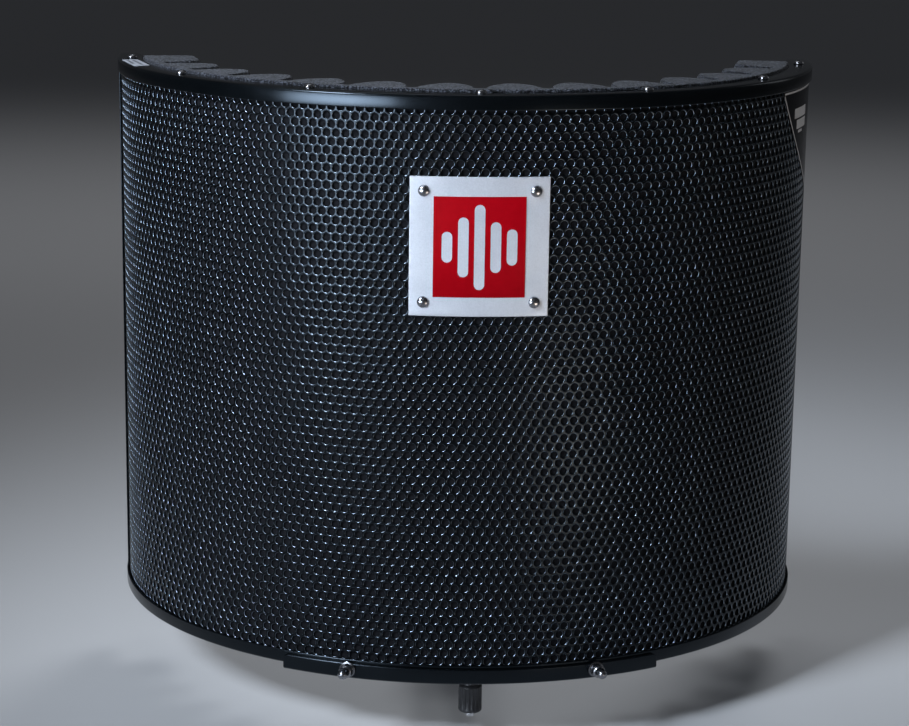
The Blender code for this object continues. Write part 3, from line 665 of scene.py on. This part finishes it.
def make_panel(name, first, stop, columns):
    """The hexagonal cells of some columns of holes; the last column has no staggered neighbour."""
    row_pitch = HOLE_PITCH * math.sqrt(3) / 2
    corner = HOLE_PITCH / math.sqrt(3)
    first_row = GRILLE_EDGE + corner
    rows = int((HEIGHT - 2 * first_row) / row_pitch) + 1
    angle = math.pi / 2 + np.arange(HOLE_SIDES) * 2 * math.pi / HOLE_SIDES
    around = np.stack([np.cos(angle), np.sin(angle)], -1)
    rim_out = HOLE_RADIUS + RIM_RADIUS
    levels = ((rim_out, 0.0), (HOLE_RADIUS + 0.3 * RIM_RADIUS, 0.3 * RIM_RADIUS),
              (HOLE_RADIUS, RIM_RADIUS), (HOLE_RADIUS, GRILLE_SHEET))
    shine = (0.0, 1.0, 1.0, 0.5)
    corners = {}
    runs, heights, insets, rims = [], [], [], []

    def corner_index(i, j, layer):
        key = (i, j, layer)
        if key not in corners:
            corners[key] = len(runs)
            runs.append(i * HOLE_PITCH / 2)
            heights.append(first_row + j * corner / 2)
            insets.append(GRILLE_INSET + layer * GRILLE_SHEET)
            rims.append(0.0)
        return corners[key]

    hexagon_steps = ((0, 2), (-1, 1), (-1, -1), (0, -2), (1, -1), (1, 1))
    faces = []
    for row in range(rows):
        for column in range(first, stop):
            if column == columns and row % 2:
                continue
            centre = 2 * column + row % 2
            level = 3 * row
            start = len(runs)
            for (radius, depth), worn in zip(levels, shine):
                for x, z in around:
                    rims.append(worn)
                    runs.append(centre * HOLE_PITCH / 2 + radius * x)
                    heights.append(first_row + level * corner / 2 + radius * z)
                    insets.append(GRILLE_INSET + depth)
            for layer, base in ((0, start), (1, start + 3 * HOLE_SIDES)):
                ring = [corner_index(centre + di, level + dj, layer) for di, dj in hexagon_steps]
                for k in range(6):
                    a, b = ring[k], ring[(k + 1) % 6]
                    p = base + 2 * k
                    q = base + 2 * k + 1
                    r = base + (2 * k + 2) % HOLE_SIDES
                    trio = [(a, p, q), (a, q, b), (b, q, r)]
                    faces += trio if layer == 0 else [t[::-1] for t in trio]
            for step in range(3):
                low = start + step * HOLE_SIDES
                high = low + HOLE_SIDES
                for k in range(HOLE_SIDES):
                    m = (k + 1) % HOLE_SIDES
                    faces.append((low + k, high + k, high + m, low + m))
    runs, heights = np.array(runs), np.array(heights)
    solid = (wall(runs, np.array(insets), heights), faces)
    panel = add_piece(name, solid, GRILLE_PAINT, "shield", ["outer_grille"],
                      sharp=60.0, turn_out=False)
    panel.data.attributes.new("rim", "FLOAT", "POINT").data.foreach_set("value", rims)
    lay_out(panel, (runs - runs.min()) / np.ptp(runs), (heights - heights.min()) / np.ptp(heights))


def lay_out(piece, across, up):
    """A flat map of the sheet, so that its finish can be baked without being cut up."""
    mesh = piece.data
    loops = np.empty(len(mesh.loops), int)
    mesh.loops.foreach_get("vertex_index", loops)
    flat = np.stack([across, up], -1)[loops] * 0.98 + 0.01
    mesh.uv_layers.new(name="OFBake").data.foreach_set("uv", flat.ravel())


# -------------------- foam

def foam_stations():
    """(run, tip inset, lean) along the foam: leaning round lobes, the last ones cut off square."""
    reach = WALL_END - FOAM_END - LOBE_LEAN
    half = (LOBE_PITCH - VALLEY_WIDTH) / 2
    stations = []
    for i in range(-LOBES, LOBES):
        middle = (i + 0.5) * LOBE_PITCH
        last = i in (-LOBES, LOBES - 1)
        for t in spread(-math.pi / 2, math.pi / 2, 34):
            share = math.sin(t)
            if last and share * middle > 0:
                continue
            rise = (1.0 - abs(share) ** LOBE_ROUND[0]) ** LOBE_ROUND[1]
            stations.append((middle + half * share, FOAM_VALLEY + (FOAM_TIP - FOAM_VALLEY) * rise, rise))
        if i < LOBES - 1:
            for share in (0.25, 0.5, 0.75):
                stations.append((middle + half + VALLEY_WIDTH * share, FOAM_VALLEY, 0.0))
    square = (LOBES - 0.5) * LOBE_PITCH
    for side in (-1, 1):
        for run in spread(square, reach - FOAM_CORNER, 12)[1:]:
            stations.append((side * run, FOAM_TIP, 1.0))
        for t in spread(0.0, math.pi / 2, 7)[1:]:
            run = reach - FOAM_CORNER * (1 - math.sin(t))
            stations.append((side * run, FOAM_TIP, 1.0))
    return sorted(stations)


def make_foam():
    reach = WALL_END - FOAM_END - LOBE_LEAN
    rings = []
    for run, tip, rise in foam_stations():
        end = reach - abs(run)
        back = FOAM_BACK + ease(end, 2.0 * MM)
        tip -= ease(end, FOAM_CORNER)
        drop = ease(end, 1.2 * MM)
        corners = [(back, drop), (tip, drop), (tip, FOAM_TOP - drop), (back, FOAM_TOP - drop)]
        outline = fillet(corners, [0.6 * MM, FOAM_ROUND, FOAM_ROUND, 0.9 * MM], 3)
        ring = []
        for i, here in enumerate(outline):
            there = outline[(i + 1) % len(outline)]
            ring.append(here)
            if (i + 1) % 4 == 0:
                count = int(HEIGHT / FOAM_MESH) if i == 7 else 10
                for k in range(1, count):
                    share = k / count
                    ring.append(tuple(a + (b - a) * share for a, b in zip(here, there)))
        ring = np.array(ring)
        lean = LOBE_LEAN * rise * np.clip((ring[:, 0] - back) / (tip - back), 0.0, 1.0)
        rings.append(wall(run + lean, ring[:, 0], ring[:, 1]))
    verts, faces = loft(rings)
    for v in verts:
        at = Vector(v)
        for scale, size in FOAM_ROUGHNESS:
            v += np.array(noise.noise_vector(at * scale) * size)
    foam = add_piece("scalloped_foam", (verts, faces), FOAM, "shield", ["foam_absorber"], 80.0)


# -------------------- rails and end channels

def rail_runs():
    near = [0.0, 0.1, 0.35, 0.7, 1.15, 1.25, 1.8, 2.6, 3.3, 4.0, 6.0]
    left = [-WALL_END + step * MM for step in near]
    middle = spread(-WALL_END + 9.0 * MM, WALL_END - 9.0 * MM, 120)
    return left + middle + [-run for run in reversed(left)]


def make_rail(name, low, high, up):
    """A channel of folded sheet with soft bends, open towards the wall."""
    way = 1 if up else -1

    def section(run):
        end = WALL_END - abs(run)
        draw = ease(end, RAIL_CORNER)
        lift = ease(end, 0.7 * MM)
        face, lip = (high - lift, low) if up else (low + lift, high)
        roof = face - RAIL_SHEET * way
        if end <= 1.2 * MM:
            roof = lip + 0.3 * MM * way
        out, inn = draw, RAIL_WIDTH - draw
        corners = [(out, lip), (out, face), (inn, face), (inn, lip), (inn - RAIL_SHEET, lip),
                   (inn - RAIL_SHEET, roof), (out + RAIL_SHEET, roof), (out + RAIL_SHEET, lip)]
        radii = [SHEET_EDGE, RAIL_BEND, RAIL_BEND] + [SHEET_EDGE] * 5
        return fillet(corners, radii, 5)

    stand_in(name, sweep(section, rail_runs()), RAIL_PAINT, "shield", 50.0)


def make_end_channel(name, side):
    """The folded strip that closes one upright edge of the wall."""
    rear = WALL_END - CHANNEL_INSET
    tip = WALL_END - CHANNEL_FLANGE
    lip = WALL_END - CHANNEL_LIP
    outer = CHANNEL_INSET
    inner = RAIL_WIDTH - 0.3 * MM
    sheet = CHANNEL_SHEET
    corners = [(tip, outer), (rear, outer), (rear, inner), (lip, inner), (lip, inner - sheet),
               (rear - sheet, inner - sheet), (rear - sheet, outer + sheet), (tip, outer + sheet)]
    bend = CHANNEL_BEND
    radii = [0.3 * MM, bend, bend, 0.3 * MM, 0.3 * MM, 0.4 * MM, 0.4 * MM, 0.3 * MM]
    outline = np.array(fillet(corners, radii, 5))
    levels = spread(BOTTOM_SKIRT - CHANNEL_TUCK, HEIGHT - TOP_SKIRT + CHANNEL_TUCK, 30)
    rings = [wall(outline[:, 0], outline[:, 1], z) * np.array([side, 1, 1]) for z in levels]
    stand_in(name, loft(rings), RAIL_PAINT, "shield", 50.0)


# -------------------- screws, rivets, nuts

def button_head(head, height, shank, length, socket):
    """A domed head with a hexagonal socket and a plain shank, seated at z 0."""
    floor = height - height * 0.62
    crown = head * 0.42
    rows = [(0.0, floor), (socket * 0.96, floor, hexagon), (socket, height * 0.97, hexagon),
            (socket * 1.12, height), (crown * 0.95, height)]
    rows += arc_rows(crown, height * 0.2, head - crown, height * 0.8, 80.0, 8.0, 6)
    rows += [(head, height * 0.16), (head * 0.97, 0.0), (shank, 0.0), (shank, -length), (0.0, -length)]
    return turned(rows, 36)


def dome_head(head, height, shank, length):
    """A smooth mushroom rivet head with a thin edge, seated at z 0."""
    rows = [(0.0, height)] + arc_rows(0.0, height * 0.22, head, height * 0.78, 84.0, 6.0, 8)
    rows += [(head, height * 0.16), (head * 0.96, 0.0), (shank, 0.0), (shank, -length), (0.0, -length)]
    return turned(rows, 40)


def middle_of(name):
    low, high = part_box(name)
    return (low + high) / 2


def make_screws():
    """Screws through the rails, under the bracket and in the bar, each turned a little further."""
    sets = (("top_screw", 7, SMALL_SCREW, RAIL_HIGH.z, UP, 0.7, "shield"),
            ("bottom_screw", 4, SMALL_SCREW, BOTTOM, DOWN, 1.1, "shield"),
            ("bracket_screw", 2, LOW_SCREW, BOTTOM + BRACKET_BOTTOM, DOWN, 0.4, "shield"),
            ("bar_bolt", 2, LARGE_SCREW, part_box("slide_bar")[1].z, UP, 0.5, "clamp"))
    for stem, count, sizes, seat, axis, spin, body in sets:
        screw = button_head(*sizes)
        for i in range(1, count + 1):
            name = "%s_%d" % (stem, i)
            at = middle_of(name)
            solid = placed(screw, (at.x, at.y, seat), axis, spin * i)
            stand_in(name, solid, STEEL_PAINTED_DARK_REFLECTION, body)


def make_bracket_bolts():
    """Dome nuts with washers on the bracket's outer lip."""
    washer = in_mm((2.2, 3.1), (3.9, 3.15), (4.2, 2.95), (4.2, 2.3), (4.0, 2.05), (2.2, 2.05))
    nut = in_mm((0.0, 13.0)) + arc_rows(0.0, 10.5 * MM, 2.55 * MM, 2.5 * MM, 82.0, 8.0, 8)
    nut += in_mm((2.6, 10.2), (2.7, 7.6), (3.0, 7.1), (3.3, 6.9), (3.62, 6.6, hexagon),
                 (3.68, 6.2, hexagon), (3.68, 3.7, hexagon), (3.3, 3.3), (2.1, 3.3), (0.0, 3.3))
    stud = in_mm((0.0, 4.0), (1.9, 4.0))
    stud += thread_rows(2.0 * MM, 0.7 * MM, 0.25 * MM, 3.9 * MM, -0.9 * MM)
    stud += in_mm((1.7, -1.0), (0.0, -1.0))
    kinds = (("bracket_washer_%d", turned(washer, 40, ring=True), NICKEL, 0.0, 40.0),
             ("bracket_nut_%d", turned(nut, 48), STEEL_PAINTED_DARK_REFLECTION, 0.3, 28.0),
             ("bracket_stud_%d", turned(stud, 24), TURNED_STEEL, 0.0, 40.0))
    for i, side in enumerate((-1, 1), start=1):
        run = side * BOLT_RUN
        origin = wall(run, 0.0, BOLT_HEIGHT)
        for name, shape, look, spin, sharp in kinds:
            solid = placed(shape, origin, wall_normal(run), spin * i)
            stand_in(name % i, solid, look, "shield", sharp)


# -------------------- badge

def crease(run, height):
    """How deep the plate is dented here; the dents fade out at its edges."""
    u = run / (BADGE_SIDE / 2)
    v = (height - BADGE_MIDDLE) / (BADGE_SIDE / 2)
    dent = 0.0
    for cu, cv, wide, deep in DENTS:
        dent += deep * MM * math.exp(-((u - cu) ** 2 + (v - cv) ** 2) / (2 * wide ** 2))
    return dent * max(0.0, min(1.0, (1.0 - abs(u)) * 12)) * max(0.0, min(1.0, (1.0 - abs(v)) * 12))


def make_badge():
    half = BADGE_SIDE / 2
    front, back = BADGE_INSET
    soft = 0.22 * MM

    def section(run):
        draw = ease(half - abs(run), soft)
        low = BADGE_MIDDLE - half + draw
        high = BADGE_MIDDLE + half - draw
        edge = front + 0.3 * soft + draw
        points = [(back, high), (back, low), (front + soft, low), (edge, low + 0.3 * soft)]
        for height in spread(low + soft, high - soft, 44):
            points.append((front + draw + crease(run, height), height))
        return points + [(edge, high - 0.3 * soft), (front + soft, high)]

    near = [0.0, 0.08, 0.22]
    runs = [-half + step * MM for step in near] + spread(-half + 0.6 * MM, half - 0.6 * MM, 44)
    runs += [half - step * MM for step in reversed(near)]
    stand_in("badge_plate", sweep(section, runs), BADGE_METAL, "shield", 50.0)

    front, back = INLAY_INSET
    low = BADGE_MIDDLE - INLAY_HEIGHT / 2
    high = BADGE_MIDDLE + INLAY_HEIGHT / 2
    soft = 0.05 * MM
    outline = [(back, high), (back, low), (front + soft, low), (front, low + soft),
               (front, high - soft), (front + soft, high)]
    inlay = sweep(lambda run: outline, spread(-INLAY_WIDTH / 2, INLAY_WIDTH / 2, 30))
    stand_in("badge_inlay", inlay, BADGE_RED, "shield", 50.0)
    make_badge_motif(front)
    rivet = dome_head(*RIVET)
    for number, (up, side) in enumerate(((1, -1), (1, 1), (-1, -1), (-1, 1)), start=1):
        run = side * RIVET_REACH
        origin = wall(run, BADGE_INSET[0], BADGE_MIDDLE + up * RIVET_REACH)
        solid = placed(rivet, origin, wall_normal(run))
        stand_in("badge_rivet_%d" % number, solid, STEEL_PAINTED_DARK_REFLECTION, "shield")


def make_badge_motif(front):
    """Plain upright level bars in bare metal, a generic sign for sound."""
    verts = []
    faces = []
    half = LEVEL_WIDTH / 2
    for i, share in enumerate(LEVELS):
        run = (i - (len(LEVELS) - 1) / 2) * LEVEL_PITCH
        reach = share * (INLAY_HEIGHT - LEVEL_MARGIN) / 2 - half
        outline = []
        for start, end in ((0.0, reach), (math.pi, -reach)):
            for t in spread(start, start + math.pi, 8):
                outline.append((run + half * math.cos(t), BADGE_MIDDLE + end + half * math.sin(t)))
        more, more_faces = patch(outline, front - 0.09 * MM, front + 0.05 * MM)
        first = len(verts)
        verts.extend(more)
        faces.extend(tuple(v + first for v in face) for face in more_faces)
    add_piece("badge_level_bars", (verts, faces), BADGE_METAL, "shield", sharp=30.0)


# -------------------- sticker and label

def make_sticker():
    """A pale blank sticker on top of the rail, with two plain bars."""
    def laid(runs, insets, low, high, corner):
        corners = [(runs[0], insets[0]), (runs[1], insets[0]), (runs[1], insets[1]), (runs[0], insets[1])]
        outline = np.array(fillet(corners, [corner] * 4, 4))
        return loft([wall(outline[:, 0], outline[:, 1], z) for z in (low, high)])

    base = HEIGHT + 0.02 * MM
    solid = laid(STICKER_RUN, STICKER_INSET, base, base + 0.15 * MM, 1.0 * MM)
    stand_in("corner_sticker", solid, STICKER, "shield")
    for number, (inset, start, stop) in enumerate(STICKER_BARS, start=1):
        insets = (inset * MM, (inset + STICKER_BAR) * MM)
        solid = laid((start * MM, stop * MM), insets, base + 0.12 * MM, base + 0.18 * MM, 0.3 * MM)
        add_piece("sticker_bar_%d" % number, solid, STICKER_INK, "shield")


def make_label():
    """A black film whose lower edge sweeps up, with a thin outline and blank blocks."""
    top = HEIGHT - TOP_SKIRT - LABEL_DROP
    start = LABEL_START
    stop = WALL_END - CHANNEL_FLANGE - 0.3 * MM
    front = GRILLE_INSET - 0.22 * MM
    back = GRILLE_INSET - 0.03 * MM
    ink = front - 0.05 * MM

    def lower(run):
        return LABEL_FOOT + LABEL_RISE * math.exp((start - run) / LABEL_FADE)

    def section(run):
        low = lower(run)
        return [(front, low), (back, low), (back, top), (front, top)]

    def edge_line(run):
        low = lower(run) + 0.5 * MM
        high = low + LABEL_LINE * (1.0 + 0.9 * math.exp((start - run) / (12 * MM)))
        return [(ink, low), (front, low), (front, high), (ink, high)]

    def bar(name, run_low, run_high, low, high):
        outline = [(ink, low), (front, low), (front, high), (ink, high)]
        solid = sweep(lambda run: outline, spread(run_low, run_high, 16))
        add_piece(name, solid, LABEL_INK, "shield")

    film = sweep(section, spread(start, stop, 50))
    stand_in("info_label", film, LABEL_FILM, "shield")
    first = start + 0.4 * MM
    last = stop - 3.0 * MM
    line = sweep(edge_line, spread(first, last, 50))
    add_piece("label_edge_line", line, LABEL_INK, "shield")
    bar("label_top_line", first, last, top - 1.7 * MM, top - 0.7 * MM)
    for number, block in enumerate(LABEL_BLOCKS, start=1):
        bar("label_bar_%d" % number, *(size * MM for size in block))


# -------------------- bracket and lock

def make_bracket():
    """A bent plate: a lip on the rail's face, a flange under it and a tongue to the stud."""
    outer, inner = BRACKET_OUTER
    sheet_top = -0.3 * MM
    half = BRACKET_HALF_RUN

    def tongue(run):
        share = min(max((abs(run) - TONGUE_HALF) / SHOULDER, 0.0), 1.0)
        smooth = share * share * (3 - 2 * share)
        return TONGUE_TIP + (RAIL_WIDTH - TONGUE_TIP) * smooth

    def section(run):
        draw = ease(half - abs(run), BRACKET_ROUND)
        top = BRACKET_TOP - draw
        edge = tongue(run) - draw
        corners = [(outer, top), (outer, BRACKET_BOTTOM), (edge, BRACKET_BOTTOM), (edge, sheet_top),
                   (inner, sheet_top), (inner, top)]
        radii = [0.6 * MM, 1.6 * MM, 0.5 * MM, 0.5 * MM, 0.2 * MM, 0.4 * MM]
        return fillet(corners, radii, 5)

    right = spread(TONGUE_HALF, TONGUE_HALF + SHOULDER, 12)
    right += spread(TONGUE_HALF + SHOULDER, half - 4.0 * MM, 30)[1:]
    right += [half - step * MM for step in (2.5, 1.6, 0.9, 0.4, 0.1, 0.0)]
    runs = [-run for run in reversed(right)] + spread(-TONGUE_HALF, TONGUE_HALF, 12)[1:-1] + right
    stand_in("mount_bracket", sweep(section, runs), RAIL_PAINT, "shield", 50.0)


def make_lock():
    """The threaded stud under the tongue, its washer and its grooved knob."""
    at = middle_of("lock_stud")
    foot = (at.x, at.y, 0.0)
    low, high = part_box("lock_stud")
    rows = in_mm((0.0, 0.35), (3.2, 0.35), (3.5, 0.2), (2.9, -0.5), level=high.z)
    rows += thread_rows(3.0 * MM, 1.0 * MM, 0.45 * MM, high.z - 0.8 * MM, low.z + 1.0 * MM)
    rows += in_mm((2.1, 0.0), (0.0, 0.0), level=low.z)
    stand_in("lock_stud", placed(turned(rows, 32), foot), TURNED_STEEL, "shield")
    low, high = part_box("lock_washer")
    rows = in_mm((3.3, 0.0), (6.75, 0.0), (7.0, -0.25), level=high.z)
    rows += in_mm((7.0, 0.25), (6.75, 0.0), (3.3, 0.0), level=low.z)
    solid = placed(turned(rows, 48, ring=True), foot)
    stand_in("lock_washer", solid, TURNED_STEEL, "lock_washer")
    low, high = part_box("lock_knob")
    top = BOTTOM - LOCK_KNOB_DROP
    grip = ribs(18, 0.075, 1.6)
    rows = in_mm((4.4, 0.0), (4.6, -0.2), level=high.z)
    rows += in_mm((4.6, 0.25), (4.7, 0.0), (4.8, 0.0), (5.6, -0.35), (5.95, -0.9), (6.1, -1.4),
                  (6.1, -1.9, grip), level=top)
    rows += in_mm((6.1, 0.0, grip), level=(top + low.z) / 2)
    rows += in_mm((6.1, 2.4, grip), (6.1, 1.9), (6.1, 0.9), (5.7, 0.3), (4.9, 0.0), (4.2, 0.0),
                  (4.0, 0.7), (3.35, 0.8), level=low.z)
    rows += in_mm((3.3, 0.0), level=high.z)
    solid = placed(turned(rows, 108, ring=True), foot)
    stand_in("lock_knob", solid, PLASTIC, "lock_knob", 45.0)


# -------------------- bar, clamp and carriage

def make_clamp():
    """The slide bar, the clamp on its end, the clamp's screw and the screw's handle."""
    softened("slide_bar", 0.5 * MM, BLACK_ZINC, "clamp")
    softened("clamp_block", 1.1 * MM, CLAMP_PAINT, "clamp")
    softened("jaw_liner", 0.3 * MM, RUBBER, "clamp")
    softened("clamp_pad", 0.7 * MM, BLACK_ZINC, "pad")
    low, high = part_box("clamp_screw")
    rows = in_mm((0.0, 0.0), (5.4, 0.0), (6.4, -0.3), (7.0, -1.0), level=high.x)
    rows += in_mm((7.0, 53.2), (6.4, 52.4), (5.6, 52.0), (3.9, 52.0))
    rows += thread_rows(4.0 * MM, 2.0 * MM, 0.8 * MM, 51.0 * MM, low.x + 1.5 * MM)
    rows += in_mm((3.0, 0.9), (2.8, 0.0), (0.0, 0.0), level=low.x)
    solid = placed(turned(rows, 40), (0.0, 0.0, 0.0), (1.0, 0.0, 0.0))
    stand_in("clamp_screw", solid, TURNED_STEEL, "clamp_screw")
    at = middle_of("clamp_handle")
    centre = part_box("clamp_handle")[1].y - at.y - BALL_RADIUS
    rows = [(0.0, centre + BALL_RADIUS)]
    rows += arc_rows(0.0, centre, BALL_RADIUS, BALL_RADIUS, 78.0, -48.0, 12)
    rows += [(3.0 * MM, centre - 3.9 * MM)]
    rows += [(row[0], -row[1]) for row in reversed(rows)]
    solid = placed(turned(rows, 40), at, (0.0, 1.0, 0.0))
    stand_in("clamp_handle", solid, STEEL_PAINTED_DARK_REFLECTION, "clamp_screw")


def make_carriage():
    """The sliding carriage with its knob, the threaded microphone post and its ring nut."""
    softened("mic_carriage", 0.6 * MM, BLACK_ZINC, "mic_carriage")
    softened("carriage_knob", 1.3 * MM, PLASTIC, "carriage_knob", segments=4)
    at = middle_of("mic_post")
    foot = (at.x, at.y, 0.0)
    low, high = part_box("mic_post")
    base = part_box("mic_carriage")[1].z + 0.02 * MM
    rows = in_mm((0.0, 0.0), (6.6, 0.0), (7.0, -0.25), level=high.z)
    rows += thread_rows(POST_RADIUS, 0.94 * MM, 0.5 * MM, high.z - 0.6 * MM, base + 6.0 * MM)
    rows += in_mm((7.1, 5.6), (7.1, 4.0), (7.9, 3.2), (10.9, 3.0), (11.7, 2.7), (12.0, 2.1), (12.0, 0.4),
                  (11.7, 0.0), (3.0, 0.0), level=base)
    rows += in_mm((3.0, 0.5), (2.5, 0.0), (0.0, 0.0), level=low.z)
    solid = placed(turned(rows, 56), foot)
    stand_in("mic_post", solid, TURNED_STEEL, "mic_carriage")
    low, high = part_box("lock_ring")
    grip = ribs(60, 0.03)
    rows = in_mm((8.6, 0.0), (12.1, 0.0), (12.7, -0.3), (13.0, -0.8, grip), level=high.z)
    rows += in_mm((13.0, 0.8, grip), (12.7, 0.3), (12.1, 0.0), (8.6, 0.0), (8.2, 0.4), level=low.z)
    rows += in_mm((8.2, -0.4), level=high.z)
    solid = placed(turned(rows, 240, ring=True), foot)
    stand_in("lock_ring", solid, TURNED_STEEL, "lock_ring", 35.0)


def dress_hidden_layers():
    """The layers inside the wall keep their CAD shape and get their own materials."""
    looks = {"outer_wool": FELT, "inner_wool": FELT, "foil_barrier": FOIL, "inner_grille": MILL}
    looks.update({"tie_rod_%d" % i: TURNED_STEEL for i in range(1, 6)})
    for name, look in looks.items():
        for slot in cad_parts[name].material_slots:
            slot.material = look


# -------------------- floor, light and camera

def make_stage():
    """A plain pale floor under the part, and a faint even sky."""
    level = CAD_BOX[0].z - 0.5 * MM
    bpy.ops.mesh.primitive_plane_add(size=12.0, location=(0.0, 0.0, level))
    floor = bpy.context.object
    floor.name = "floor"
    settings = (("Roughness", 0.85), ("Base Color", (0.50, 0.50, 0.51, 1.0)))
    floor.data.materials.append(start_material("pale_floor", settings)[0])
    world = bpy.data.worlds.new("studio")
    world.use_nodes = True
    sky = world.node_tree.nodes["Background"]
    sky.inputs["Color"].default_value = (0.78, 0.82, 0.90, 1.0)
    sky.inputs["Strength"].default_value = 0.05
    bpy.context.scene.world = world
    bpy.context.scene.view_settings.view_transform = "Standard"


def make_lights():
    for name, place, aim, size, watts, colour, angle, reflected in LAMPS:
        data = bpy.data.lights.new(name, "AREA")
        data.shape = "RECTANGLE"
        data.size, data.size_y = size
        data.energy = watts
        data.color = colour
        data.spread = math.radians(angle)
        lamp = bpy.data.objects.new(name, data)
        lamp.location = place
        lamp.visible_camera = False
        lamp.visible_glossy = reflected
        lamp.rotation_mode = "QUATERNION"
        lamp.rotation_quaternion = (Vector(aim) - Vector(place)).to_track_quat("-Z", "Y")
        bpy.context.scene.collection.objects.link(lamp)


def make_camera():
    azimuth = math.radians(CAMERA_AZIMUTH)
    elevation = math.radians(CAMERA_ELEVATION)
    roll = math.radians(CAMERA_ROLL)
    back = Vector((math.sin(azimuth) * math.cos(elevation), -math.cos(azimuth) * math.cos(elevation),
                   math.sin(elevation)))
    right = (-back).cross(Vector(UP)).normalized()
    up = right.cross(-back)
    across = right * math.cos(roll) + up * math.sin(roll)
    upright = up * math.cos(roll) - right * math.sin(roll)
    data = bpy.data.cameras.new("camera")
    data.sensor_width = CAMERA_SENSOR
    data.lens = CAMERA_LENS
    camera = bpy.data.objects.new("camera", data)
    turn = Matrix((across, upright, back)).transposed().to_4x4()
    place = Vector(CAMERA_TARGET) + back * CAMERA_DISTANCE
    camera.matrix_world = Matrix.Translation(place) @ turn
    bpy.context.scene.collection.objects.link(camera)
    bpy.context.scene.camera = camera


def main():
    make_camera()
    make_stage()
    make_lights()
    make_grille()
    make_foam()
    make_rail("top_rail", HEIGHT - TOP_SKIRT, HEIGHT, True)
    make_rail("bottom_rail", 0.0, BOTTOM_SKIRT, False)
    make_end_channel("end_channel_left", -1)
    make_end_channel("end_channel_right", 1)
    make_screws()
    make_bracket_bolts()
    make_badge()
    make_sticker()
    make_label()
    make_bracket()
    make_lock()
    make_clamp()
    make_carriage()
    dress_hidden_layers()


main()
